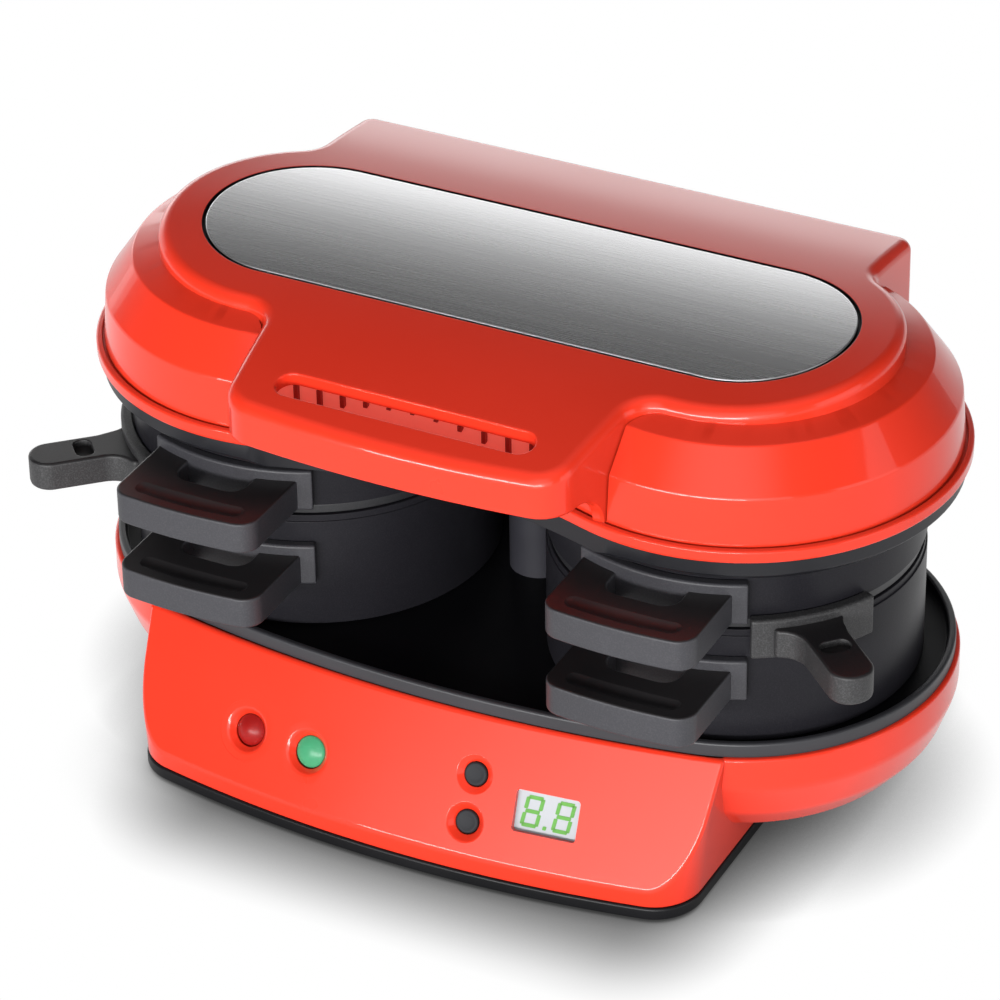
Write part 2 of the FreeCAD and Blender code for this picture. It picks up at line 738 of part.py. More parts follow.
def build_upper_ring(side):
    """Upper ring with its hinge arm and the ear that carries the cooking plate."""
    sign = SIDES[side]
    body = new_body("upper_ring_%s_body" % side)
    wall = ring_profile("ring_radius", "ring_wall", UPPER_BOTTOM, UPPER_TOP)
    revolve(body, outline(body, "XZ_Plane", wall))
    arm = rectangle("ring_radius - ring_wall / 2", "hinge_z - arm_half", HINGE_REACH, "hinge_z + arm_half")
    add_knuckle(body, "0", arm)
    pad(body, swing_lug(body, sign, "ring_radius - ring_wall / 2", "ear_bottom"), "ear_height")
    x, y = swing_spot(sign)
    pocket(body, round_sketch(body, "XY_Plane", "swing_pin_radius", x, y, lift="ear_bottom"), "ear_height")
    place(body, "%d * station_x" % sign, "-ring_offset")
    keep(body, "upper_ring_%s" % side)
    build_swing_pin(side)


def swing_spot(sign):
    """Place of the swing pin about the middle of a ring."""
    return ("%d * swing_reach * cos(swing_angle)" % sign, "swing_reach * sin(swing_angle)")


def swing_lug(body, sign, root, lift):
    """Sketch of an ear that reaches from a round wall to the swing pin."""
    def spot(reach, across):
        x = "(%s) * cos(swing_angle) - (%s) * sin(swing_angle)" % (reach, across)
        y = "(%s) * sin(swing_angle) + (%s) * cos(swing_angle)" % (reach, across)
        return ("%d * (%s)" % (sign, x), y)
    wide, eye = "swing_ear_root", "swing_ear_radius"
    points = [spot(root, "-" + wide), spot("swing_reach", "-" + eye), spot("swing_reach + " + eye, "0"),
              spot("swing_reach", eye), spot(root, wide)]
    bend = eye if sign > 0 else "-" + eye
    points[1] = points[1] + (bend,)
    points[2] = points[2] + (bend,)
    return outline(body, "XY_Plane", points, lift=lift)


def build_swing_pin(side):
    """Upright pin that the cooking plate turns on, with a head under the plate's ear."""
    x, y = swing_spot(SIDES[side])
    bottom = "(%s - swing_head_gap - swing_head_height)" % PLATE_BOTTOM
    x, y = "%d * station_x + %s" % (SIDES[side], x), "%s - ring_offset" % y
    shank = cylinder("swing_shank_" + side, "swing_pin_radius", "ear_bottom + ear_height - %s" % bottom)
    place(shank, x, y, bottom)
    head = cylinder("swing_head_" + side, "swing_head_radius", "swing_head_height")
    place(head, x, y, bottom)
    keep(joined("swing_pin_%s_solid" % side, [shank, head]), "plate_pin_%s" % side)


def build_cooking_plate(side):
    """Flat plate between the rings, with an ear on the swing pin and a tab for its handle."""
    sign = SIDES[side]
    body = new_body("cooking_plate_%s_body" % side)
    pad(body, round_sketch(body, "XY_Plane", "plate_radius", lift=PLATE_BOTTOM), "plate_thick")
    pad(body, swing_lug(body, sign, "plate_radius - ring_wall", PLATE_BOTTOM), "plate_thick")
    tab = turned_rectangle(sign, "plate_radius - bar_width", "ring_radius", "tab_width")
    pad(body, outline(body, "XY_Plane", tab, lift=PLATE_BOTTOM), "plate_thick")
    x, y = swing_spot(sign)
    hole = round_sketch(body, "XY_Plane", "swing_pin_radius + pivot_fit", x, y, lift=PLATE_BOTTOM)
    pocket(body, hole, "plate_thick")
    place(body, "%d * station_x" % sign, "-ring_offset")
    keep(body, "cooking_plate_%s" % side)


def turned_point(sign, reach, across, angle="bar_angle"):
    """Point out along the direction of the plate handle, and a distance across it."""
    x = "(%s) * cos(%s) - (%s) * sin(%s)" % (reach, angle, across, angle)
    y = "-((%s) * sin(%s) + (%s) * cos(%s))" % (reach, angle, across, angle)
    return ("%d * (%s)" % (sign, x), y)


def turned_rectangle(sign, near, far, width):
    """Corners of a rectangle that lies along the plate handle."""
    half = "(%s) / 2" % width
    return [turned_point(sign, near, half), turned_point(sign, near, "-" + half),
            turned_point(sign, far, "-" + half), turned_point(sign, far, half)]


def build_plate_handle(side):
    """Handle of a cooking plate: curved flange outside the ring and a stub bar with a dimple."""
    sign = SIDES[side]
    body = new_body("plate_handle_%s_body" % side)
    inner, outer = "(ring_radius + flange_gap)", "(ring_radius + flange_gap + flange_thick)"
    low, high = "(bar_angle - flange_angle)", "(bar_angle + flange_angle)"
    bend = "%s" if sign > 0 else "-%s"
    back = "-%s" if sign > 0 else "%s"
    sector = [turned_point(sign, inner, "0", high) + (bend % inner,), turned_point(sign, inner, "0", low),
              turned_point(sign, outer, "0", low) + (back % outer,), turned_point(sign, outer, "0", high)]
    pad(body, outline(body, "XY_Plane", sector, lift="flange_top - flange_height"), "flange_height")
    half, centre = "bar_width / 2", "(bar_reach - bar_width / 2)"
    turn = back % "(bar_width / 2)"
    neck, root = outer + " + bar_root / 2", inner + " + flange_thick / 2"
    bar = [turned_point(sign, root, "-(%s + bar_root / 2)" % half), turned_point(sign, neck, "-" + half),
           turned_point(sign, centre, "-" + half) + (turn,), turned_point(sign, "bar_reach", "0") + (turn,),
           turned_point(sign, centre, half), turned_point(sign, neck, half),
           turned_point(sign, root, "%s + bar_root / 2" % half)]
    pad(body, outline(body, "XY_Plane", bar, lift="bar_top - bar_thick"), "bar_thick")
    dimple = turned_rectangle(sign, "dimple_reach - dimple_length / 2", "dimple_reach + dimple_length / 2",
                              "dimple_width")
    pocket(body, outline(body, "XY_Plane", dimple, lift="bar_top - dimple_depth"), "dimple_depth")
    place(body, "%d * station_x" % sign, "-ring_offset")
    keep(body, "plate_handle_%s" % side)


def build_ring_handle(level, side):
    """Front handle of a ring: bowed grip on two arms, and the bracket that hugs the ring."""
    body = new_body("%s_handle_%s_body" % (level, side))
    top = "%s_handle_top" % level
    half, notch = "handle_width / 2", "notch_width / 2"
    root = "-(ring_radius - grip_overlap)"
    front = "-(%s - handle_bow + sqrt(handle_bow^2 - (handle_width / 2)^2))" % HANDLE_REACH
    grip = [("-" + half, root), ("-" + half, front, "handle_bow"), (half, front), (half, root),
            (notch, root), (notch, "-" + NOTCH_REACH), ("-" + notch, "-" + NOTCH_REACH), ("-" + notch, root)]
    pad(body, outline(body, "XY_Plane", grip, lift=top + " - handle_thick"), "handle_thick")
    reach = value(NOTCH_REACH) + EPS
    soften(body, "handle_corner", lambda e: upright(e) and e.CenterOfMass.y < -reach)
    soften(body, "notch_corner", lambda e: upright(e) and abs(e.CenterOfMass.y + reach) < 10 * EPS)
    brink = value(top) - EPS
    soften(body, "handle_round", lambda e: e.BoundBox.ZMin > brink and e.CenterOfMass.y < -reach)
    outer, inner = "(ring_radius + bracket_thick)", "(ring_radius - bracket_thick)"
    wide = "bracket_half_width"
    far, near = ["-sqrt(%s^2 - %s^2)" % (reach, wide) for reach in (outer, inner)]
    plate = [("-" + wide, far, outer), (wide, far), (wide, near, "-" + inner), ("-" + wide, near)]
    pad(body, outline(body, "XY_Plane", plate, lift=top + " - handle_thick - bracket_drop"),
        "handle_thick + bracket_drop + bracket_rise")
    bore = round_sketch(body, "XY_Plane", "ring_radius + handle_seat", lift=top + " - 2 * handle_thick")
    pocket(body, bore, "4 * handle_thick")
    place(body, "%d * station_x" % SIDES[side], "-ring_offset")
    keep(body, "%s_handle_%s" % (level, side))


def build_heaters(side):
    """Lower and upper heating plates with their tube elements, and the thermostat below."""
    sign = SIDES[side]
    x, y = "%d * station_x" % sign, "-ring_offset"
    lower = new_body("lower_heater_%s_body" % side)
    face = "(%s + heater_height)" % TRAY_FLOOR
    profile = [("0", BOSS_BOTTOM), ("heater_boss_radius", BOSS_BOTTOM), ("heater_boss_radius", TRAY_FLOOR),
               ("heater_radius", TRAY_FLOOR), ("heater_radius", "%s - heater_edge" % face),
               ("heater_radius - heater_edge", face), ("0", face)]
    revolve(lower, outline(lower, "XZ_Plane", profile))
    place(lower, x, y)
    keep(lower, "lower_heater_%s" % side)
    build_element("lower", side, "%s - element_tube" % BOSS_BOTTOM)
    can = cylinder("thermostat_can_" + side, "thermostat_radius", "thermostat_height")
    place(can, x, y, "%s - thermostat_height" % BOSS_BOTTOM)
    keep(can, "thermostat_%s" % side)
    upper = new_body("upper_heater_%s_body" % side)
    profile = [("0", "upper_heater_face"), ("upper_heater_radius - heater_edge", "upper_heater_face"),
               ("upper_heater_radius", "upper_heater_face + heater_edge"), ("collar_radius", "skirt_bottom"),
               ("collar_radius", "rim_bottom"), ("0", "rim_bottom")]
    revolve(upper, outline(upper, "XZ_Plane", profile))
    place(upper, x, y)
    keep(upper, "upper_heater_%s" % side)
    build_element("upper", side, "rim_bottom + element_tube")


def build_element(level, side, height):
    """Tube heating element, a ring left open at the back for its two tails."""
    tube = DOC.addObject("Part::Torus", "%s_element_%s_tube" % (level, side))
    bind(tube, "Radius1", "element_ring")
    bind(tube, "Radius2", "element_tube")
    bind(tube, "Angle3", "360 - element_open")
    tube.Placement.Rotation = FreeCAD.Rotation(FreeCAD.Vector(0, 0, 1), 90 + value("element_open") / 2)
    place(tube, "%d * station_x" % SIDES[side], "-ring_offset", height)
    keep(tube, "%s_element_%s" % (level, side))


def build_skirt():
    """Black underframe of the lid: a slab with round openings and the two lid hinge arms."""
    body = new_body("skirt_body")
    edge = "skirt_radius - skirt_edge"
    add_stadium(body, "station_x", [("0", "skirt_bottom"), (edge, "skirt_bottom"),
                                    ("skirt_radius", "skirt_bottom + skirt_edge"),
                                    ("skirt_radius", "rim_bottom"), ("0", "rim_bottom")])
    for sign in ("-1", "1"):
        hole = round_sketch(body, "XY_Plane", "collar_radius + heater_hole_gap", "%s * station_x" % sign,
                            "-ring_offset", lift="skirt_bottom")
        pocket(body, hole, "rim_bottom - skirt_bottom")
        x = "%s * station_x + %s" % (sign, KNUCKLE_STEP)
        top = "skirt_bottom + skirt_edge"
        arm = rectangle("(hinge_y - arm_waist)", "hinge_z", "(hinge_y + arm_waist)", top)
        pad(body, outline(body, "YZ_Plane", arm, lift=x), "knuckle_width", both_ways=True)
        pad(body, round_sketch(body, "YZ_Plane", "knuckle_radius", "hinge_y", "hinge_z", lift=x),
            "knuckle_width", both_ways=True)
        eye = round_sketch(body, "YZ_Plane", "rod_radius + pivot_fit", "hinge_y", "hinge_z", lift=x)
        pocket(body, eye, "knuckle_width", both_ways=True)
    for x, y in lid_screw_spots():
        pocket(body, round_sketch(body, "XY_Plane", "screw_radius", x, y, lift="skirt_bottom"),
               "rim_bottom - skirt_bottom")
        pocket(body, round_sketch(body, "XY_Plane", "screw_head_radius", x, y, lift="skirt_bottom"),
               "screw_head_height")
    place(body)
    keep(body, "lid_underframe")


def lid_screw_spots():
    """Places of the four screws that hold the underframe to the lid."""
    turn = "lid_screw_ring * sqrt(0.5)"
    return [("%s * (station_x + %s)" % (sx, turn), "%s * %s" % (sy, turn))
            for sx in ("-1", "1") for sy in ("-1", "1")]


def crown_slab(name, below, above):
    """Bent sheet under the lid's crowned top, between two depths."""
    body = new_body(name)
    half = "(rear_back + tongue_front)"

    def arc(depth):
        bend = "(crown_radius - (%s))" % depth
        return "(%s - crown_radius + sqrt(%s^2 - %s^2))" % (CROWN, bend, half), bend
    low, low_bend = arc(below)
    high, high_bend = arc(above)
    section = [("crown_y - %s" % half, low, "-" + low_bend), ("crown_y + %s" % half, low),
               ("crown_y + %s" % half, high, high_bend), ("crown_y - %s" % half, high)]
    pad(body, outline(body, "YZ_Plane", section), "4 * station_x", both_ways=True)
    return body


def build_lid():
    """Red lid: stepped stadium moulding, crowned deck, front grip tongue and rear tongue."""
    body = new_body("lid_body")
    add_stadium(body, "station_x", [
        ("0", "rim_bottom"), ("rim_radius", "rim_bottom"), ("rim_radius", RIM_TOP),
        ("wall_radius", RIM_TOP + " + rim_step"), ("wall_top_radius", WALL_TOP),
        ("crease_radius", CREASE), ("deck_radius", LEDGE), ("0", LEDGE)])
    rise = CROWN + " + deck_round - "
    pad(body, outline(body, "XY_Plane", stadium("station_x", "deck_radius"), lift=CREASE),
        rise + CREASE)
    tip = "-(tongue_front - tongue_bow + sqrt(tongue_bow^2 - tongue_tip^2))"
    tongue = [("-tongue_root", "0"), ("-tongue_root", "-deck_radius"), ("-tongue_tip", tip, "tongue_bow"),
              ("tongue_tip", tip), ("tongue_root", "-deck_radius"), ("tongue_root", "0")]
    pad(body, outline(body, "XY_Plane", tongue, lift=TONGUE_BOTTOM), rise + TONGUE_BOTTOM)
    add_webs(body)
    rear = rectangle("-rear_half_width", "0", "rear_half_width", "rear_back")
    pad(body, outline(body, "XY_Plane", rear, lift=REAR_BOTTOM), rise + REAR_BOTTOM)
    front, back = value("-tongue_front + 2 * tongue_corner"), value("rear_back") - EPS
    soften(body, "tongue_corner", lambda e: upright(e) and e.CenterOfMass.y < front)
    soften(body, "rear_corner", lambda e: upright(e) and e.CenterOfMass.y > back)
    ledge = value(LEDGE) - EPS
    soften(body, "tongue_cove", lambda e: upright(e) and e.BoundBox.ZMin > ledge and e.CenterOfMass.y < 0)
    soften(body, "rear_cove", lambda e: upright(e) and e.BoundBox.ZMin > ledge and side_of_rear(e))
    pocket(body, crown_sketch(body), "6 * station_x", both_ways=True)
    soften(body, "deck_round", on_crown)
    hollow = outline(body, "XY_Plane", stadium("station_x", "lid_cavity_radius"), lift="rim_bottom")
    pocket(body, hollow, CAVITY_TOP + " - rim_bottom")
    for x, y in lid_screw_spots():
        pocket(body, round_sketch(body, "XY_Plane", "screw_radius", x, y, lift="rim_bottom"),
               "lid_screw_length - (rim_bottom - skirt_bottom)")
    place(body)
    recess = crown_common("recess", "inlay_radius", "inlay_sink + inlay_thick", "-deck_round")
    tools = joined("lid_tools", [recess] + build_slot())
    keep(cut("lid", body, tools), "lid_cover")
    inlay = crown_common("inlay", "inlay_radius - inlay_gap", "inlay_sink + inlay_thick", "inlay_sink")
    keep(inlay, "steel_inlay")


def add_webs(body):
    """Add the two webs that run from the tongue's sides down to the rim in a concave sweep."""
    root = "-(wall_top_radius - web_thick)"
    foot, head = "-wall_radius", "-(wall_radius + web_reach)"
    web = [(root, RIM_TOP), (root, TONGUE_BOTTOM), (head, TONGUE_BOTTOM, "-web_bend"), (foot, RIM_TOP)]
    for sign in ("-1", "1"):
        x = "%s * (tongue_root - web_inset)" % sign
        pad(body, outline(body, "YZ_Plane", web, lift=x), "web_thick", both_ways=True)


def side_of_rear(edge):
    """Whether an upright edge stands in the corner where the rear tongue leaves the deck."""
    spot = edge.CenterOfMass
    return abs(abs(spot.x) - value("rear_half_width")) < EPS and 0 < spot.y < value("deck_radius")


def crown_sketch(body):
    """Sketch of everything above the crowned top."""
    half = "(rear_back + tongue_front)"
    drop = "(%s - crown_radius + sqrt(crown_radius^2 - %s^2))" % (CROWN, half)
    return outline(body, "YZ_Plane", [
        ("crown_y - %s" % half, drop, "-crown_radius"), ("crown_y + %s" % half, drop),
        ("crown_y + %s" % half, CROWN + " + 2 * deck_radius"),
        ("crown_y - %s" % half, CROWN + " + 2 * deck_radius")])


def on_crown(edge):
    """Whether an edge lies on the rim of the crowned top."""
    reach, middle = value("crown_radius"), FreeCAD.Vector(0, value("crown_y"), 0)
    middle.z = value(CROWN + " - crown_radius")
    first, last = edge.ParameterRange
    for share in (0.0, 0.3, 0.7, 1.0):
        spot = edge.valueAt(first + share * (last - first)) - middle
        if abs(math.hypot(spot.y, spot.z) - reach) > 10 * EPS:
            return False
    return True


def crown_common(name, radius, below, above):
    """Stadium-shaped piece of a bent sheet under the crowned top."""
    prism = new_body(name + "_prism")
    pad(prism, outline(prism, "XY_Plane", stadium("inlay_half_length", radius), lift=LEDGE + " - deck_round"),
        "4 * deck_round + ledge_drop")
    shared = DOC.addObject("Part::Common", name)
    shared.Base = prism
    shared.Tool = crown_slab(name + "_sheet", below, above)
    place(shared)
    return shared


def build_slot():
    """Tools for the grip slot: a long round-ended channel less a row of ribs across its floor."""
    channel = new_body("slot_channel")
    pad(channel, outline(channel, "XY_Plane", stadium("slot_half_length - slot_width / 2", "slot_width / 2"),
                         lift=SLOT_FLOOR), "3 * slot_depth")
    place(channel, "0", "-slot_y")
    pitch = "(2 * slot_half_length / (rib_count + 1))"
    ribs = []
    for index in range(int(value("rib_count"))):
        rib = box("slot_rib_%d" % index, "rib_thick", "2 * slot_width", "rib_height")
        place(rib, "-slot_half_length + %d * %s - rib_thick / 2" % (index + 1, pitch),
              "-slot_y - slot_width", SLOT_FLOOR)
        ribs.append(rib)
    return [cut("slot_tool", channel, joined("slot_ribs", ribs))]


def build_lid_screws():
    """Four screws from below through the underframe into the lid."""
    screws = []
    for index, (x, y) in enumerate(lid_screw_spots()):
        head = cylinder("lid_screw_head_%d" % index, "screw_head_radius", "screw_head_height")
        shank = cylinder("lid_screw_shank_%d" % index, "screw_radius", "lid_screw_length")
        for piece in (head, shank):
            place(piece, x, y, "skirt_bottom")
        screws.append(joined("lid_screw_%d" % index, [head, shank]))
    keep(group("lid_screw_set", screws), "lid_screws")


def build_lamp(name, x_text):
    """Lamp lens: a low dome with a flange behind the panel; returns the tools for its dished hole."""
    frame = panel_frame(x_text, "lamp_height")
    depth, wall = value("lamp_depth"), value("housing_wall")
    body = new_body(name + "_body")
    dome = "((lamp_radius^2 + lamp_dome^2) / (2 * lamp_dome))"
    profile = [("0", "-lamp_depth"), ("lamp_radius + lamp_flange", "-lamp_depth"),
               ("lamp_radius + lamp_flange", "-(housing_wall + control_gap)"),
               ("lamp_radius", "-(housing_wall + control_gap)"), ("lamp_radius", "0", dome),
               ("0", "lamp_dome")]
    revolve(body, outline(body, "XZ_Plane", profile))
    body.Placement = frame
    keep(body, name)
    hole = cylinder(name + "_hole", "lamp_radius + control_gap", "lamp_depth + 2 * housing_wall")
    on_panel(hole, frame, z=-depth - wall / 2)
    return [hole, dish_tool(name, frame, "lamp_radius + control_gap", "lamp_dish")]


def build_button(name, z_text):
    """Push button with a retaining flange; returns the tools for its dished hole."""
    frame = panel_frame("button_x", z_text)
    body = new_body(name + "_body")
    skirt, foot = "-(housing_wall + control_gap)", "-(housing_wall + control_gap + button_flange)"
    profile = [("0", foot + " - button_flange"), ("button_stem_radius", foot + " - button_flange"),
               ("button_stem_radius", foot), ("button_radius + button_flange", foot),
               ("button_radius + button_flange", skirt), ("button_radius", skirt),
               ("button_radius", "-button_gap"), ("button_radius - button_gap", "0"), ("0", "0")]
    revolve(body, outline(body, "XZ_Plane", profile))
    body.Placement = frame
    keep(body, name)
    hole = cylinder(name + "_hole", "button_radius + button_gap", "4 * housing_wall")
    on_panel(hole, frame, z=-2 * value("housing_wall"))
    return [hole, dish_tool(name, frame, "button_radius + button_gap", "button_dish")]


def dish_tool(name, frame, radius, depth):
    """Cone that opens a hole in the panel into a dish."""
    dish = DOC.addObject("Part::Cone", name + "_dish")
    bind(dish, "Radius1", radius)
    bind(dish, "Radius2", "%s + 2 * %s" % (radius, depth))
    bind(dish, "Height", "2 * " + depth)
    return on_panel(dish, frame, z=-value(depth))


def build_display():
    """Clear window and digit block of the timer; returns the tool for their opening."""
    frame = panel_frame("display_x", "display_height")
    wide, rise = value("display_width"), value("display_rise")
    sink, window = value("display_sink"), value("window_thick")
    pane = box("window_pane", "display_width", "display_rise", "window_thick")
    keep(on_panel(pane, frame, -wide / 2, -rise / 2, -sink - window), "display_window")
    block = box("digit_block", "display_width", "display_rise", "board_depth - display_sink - window_thick")
    keep(on_panel(block, frame, -wide / 2, -rise / 2, -value("board_depth")), "display_module")
    gap = value("control_gap")
    opening = box("display_opening", "display_width + 2 * control_gap", "display_rise + 2 * control_gap",
                  "board_depth")
    return on_panel(opening, frame, -wide / 2 - gap, -rise / 2 - gap, -value("board_depth") / 2)


def build_board():
    """Control board behind the panel, with a switch under each button."""
    frame = panel_frame("display_x", "display_height")
    back = -value("board_depth + board_thick")
    plate = box("board_plate", "board_left + board_right", "board_rise", "board_thick")
    keep(on_panel(plate, frame, -value("board_left"), -value("board_rise") / 2, back), "control_board")
    size = value("switch_size")
    cans = []
    for index, height in enumerate(("upper_button_height", "lower_button_height")):
        spot = frame.inverse().multVec(panel_frame("button_x", height).Base)
        can = box("switch_can_%d" % index, "switch_size", "switch_size", "switch_height")
        cans.append(on_panel(can, frame, spot.x - size / 2, spot.y - size / 2, back + value("board_thick")))
    keep(group("switches", cans), "tact_switches")


def write_parts():
    """Check every object and write each piece to its own file."""
    DOC.recompute()
    bad = [item.Name for item in DOC.Objects if {"Invalid", "Error"} & set(item.State)]
    if bad:
        raise RuntimeError("failed objects: " + ", ".join(bad))
    for item in SUB_PARTS:
        if item.Shape.isNull() or not item.Shape.isValid() or not item.Shape.Solids:
            raise RuntimeError("bad shape: " + item.Label)
    os.makedirs("parts", exist_ok=True)
    for item in SUB_PARTS:
        item.Shape.exportStep(os.path.join("parts", item.Label + ".step"))
        print("%-22s %d solid(s)" % (item.Label, len(item.Shape.Solids)))


def main():
    """Build all pieces, base first."""
    fill_sheet()
    build_bottom_cover()
    holes = build_lamp("power_lamp", "red_lamp_x") + build_lamp("ready_lamp", "green_lamp_x")
    holes += build_button("timer_button_up", "upper_button_height")
    holes += build_button("timer_button_down", "lower_button_height")
    holes.append(build_display())
    build_board()
    build_housing(holes)
    build_gland()
    build_tray()
    build_tower()
    for side in SIDES:
        build_heaters(side)
        build_lower_ring(side)
        build_ring_handle("lower", side)
        build_upper_ring(side)
        build_ring_handle("upper", side)
        build_cooking_plate(side)
        build_plate_handle(side)
    build_skirt()
    build_lid()
    build_lid_screws()
    write_parts()


main()
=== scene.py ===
"""Looks of a two-station breakfast sandwich maker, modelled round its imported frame.

Forms are modelled in millimetres about the middle of the lid, front towards -Y, and move into
the frame, in metres, when they are finished.
"""
import logging
import math
from dataclasses import dataclass
from enum import Enum
from typing import Callable, Iterable, Optional, Sequence, Union

import bmesh
import bpy
from bmesh.types import BMEdge, BMFace, BMVert
from mathutils import Matrix, Vector


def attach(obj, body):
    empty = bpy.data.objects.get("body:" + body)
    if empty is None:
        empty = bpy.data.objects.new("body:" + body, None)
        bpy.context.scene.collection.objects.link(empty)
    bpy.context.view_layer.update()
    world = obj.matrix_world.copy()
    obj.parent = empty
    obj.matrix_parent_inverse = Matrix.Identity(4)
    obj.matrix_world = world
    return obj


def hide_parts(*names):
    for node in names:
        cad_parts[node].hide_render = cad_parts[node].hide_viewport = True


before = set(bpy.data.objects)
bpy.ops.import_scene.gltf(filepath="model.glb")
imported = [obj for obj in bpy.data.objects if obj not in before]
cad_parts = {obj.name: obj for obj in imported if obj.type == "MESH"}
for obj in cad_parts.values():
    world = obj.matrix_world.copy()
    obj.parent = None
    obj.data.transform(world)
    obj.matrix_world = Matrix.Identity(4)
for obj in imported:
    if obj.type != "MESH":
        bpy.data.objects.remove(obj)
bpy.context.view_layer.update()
LOG = logging.getLogger("sandwich_maker")

# Lengths are in millimetres and angles in degrees; WELD_NEAR is in metres, as modifiers are.
MM = 0.001
DEPTH_SHIFT = 9.2
MERGE = 1e-3
NEAR = 1e-3
CUT_NEAR = 1e-5
WELD_NEAR = 2e-6
FLAT_ANGLE = 0.3
EDGE_ANGLE = 30.0
EDGE_FACETS = 3
BEND_ANGLE = 11.0
STEP_ANGLE = 3.0
STEP_RUN = 8.0
STATION_X = 68.8
RING_OFFSET = 3.0


class Side(Enum):
    """The two ring stacks, by the sign of their X."""

    LEFT = -1
    RIGHT = 1

    @property
    def label(self) -> str:
        """Name of the side as the frame writes it."""
        return self.name.lower()


class Level(Enum):
    """The two rings of a stack."""

    LOWER = "lower"
    UPPER = "upper"


@dataclass(frozen=True)
class Corner:
    """Corner of a section: distance outward, height and rounding radius."""

    out: float
    up: float
    bend: float = 0.0


@dataclass(frozen=True)
class Run:
    """Straight stretch of a plan outline."""

    dx: float
    dy: float


@dataclass(frozen=True)
class Turn:
    """Arc of a plan outline about an upright axis."""

    x: float
    y: float
    degrees: float
    steps: int


class Track:
    """Right half of a plan outline, from the middle of the front to the middle of the back."""

    def __init__(self, x: float, y: float) -> None:
        """Start a track.

        Args:
            x: Start across.
            y: Start in depth.
        """
        self.start = Vector((x, y))
        self.spot = Vector((x, y))
        self.steps: list[Union[Run, Turn]] = []

    def run_to(self, x: float, y: float, parts: int = 0) -> "Track":
        """Go straight to a point.

        Args:
            x: End across.
            y: End in depth.
            parts: Number of stretches, or 0 to choose by length.

        Returns:
            The track itself.
        """
        way = Vector((x, y)) - self.spot
        count = parts or max(1, math.ceil(way.length / STEP_RUN))
        self.steps += [Run(way.x / count, way.y / count)] * count
        self.spot = Vector((x, y))
        return self

    def turn(self, x: float, y: float, degrees: float, steps: int = 0) -> "Track":
        """Go round a centre.

        Args:
            x: Centre across.
            y: Centre in depth.
            degrees: Angle, positive to the left.
            steps: Number of facets, or 0 to choose by angle.

        Returns:
            The track itself.
        """
        count = steps or max(2, math.ceil(abs(degrees) / STEP_ANGLE))
        self.steps.append(Turn(x, y, degrees, count))
        centre = Vector((x, y))
        self.spot = centre + Matrix.Rotation(math.radians(degrees), 2) @ (self.spot - centre)
        return self


def stadium_track(half: float, radius: float) -> Track:
    """Half of a slot shape.

    Args:
        half: Half of the straight length.
        radius: Radius of the round ends.

    Returns:
        The track.
    """
    return Track(0, -radius).run_to(half, -radius).turn(half, 0, 180).run_to(0, radius)


def bowed_track(radius: float, front: float) -> Track:
    """Half of the tray's plan: round ends joined by a straight back and a bowed front.

    Args:
        radius: Radius of the round ends.
        front: Reach of the bowed front.

    Returns:
        The track.
    """
    bow = (STATION_X ** 2 + front ** 2 - radius ** 2) / (2 * (front - radius))
    swing = math.degrees(math.atan2(STATION_X, bow - front))
    track = Track(0, -front).turn(0, bow - front, swing, 24)
    return track.turn(STATION_X, 0, 180 - swing, 60).run_to(0, radius)


def bowed_front(half: float, front: float, bow: float, corner: float, facets: tuple[int, int]) -> Track:
    """Start of an outline with a bowed front and a rounded corner.

    Args:
        half: Half of the width.
        front: Reach of the bowed front.
        bow: Radius of the front.
        corner: Radius of the corner.
        facets: Facets of the front and of the corner.

    Returns:
        The track, up to the side.
    """
    middle, turn_x = bow - front, half - corner
    turn_y = middle - math.sqrt((bow - corner) ** 2 - turn_x ** 2)
    swing = math.degrees(math.atan2(turn_x, middle - turn_y))
    return Track(0, -front).turn(0, middle, swing, facets[0]).turn(turn_x, turn_y, 90 - swing, facets[1])


def foot_track(half: float, front: float, bow: float, back: float, corner: float, heel: float) -> Track:
    """Half of the base's foot: bowed front, straight side and back, rounded corners.

    Args:
        half: Half of the width.
        front: Reach of the bowed front.
        bow: Radius of the front.
        back: Reach of the back.
        corner: Radius of the front corner.
        heel: Radius of the back corner.

    Returns:
        The track.
    """
    track = bowed_front(half, front, bow, corner, (24, 20)).run_to(half, back - heel, 16)
    return track.turn(half - heel, back - heel, 90, 8).run_to(0, back, 12)


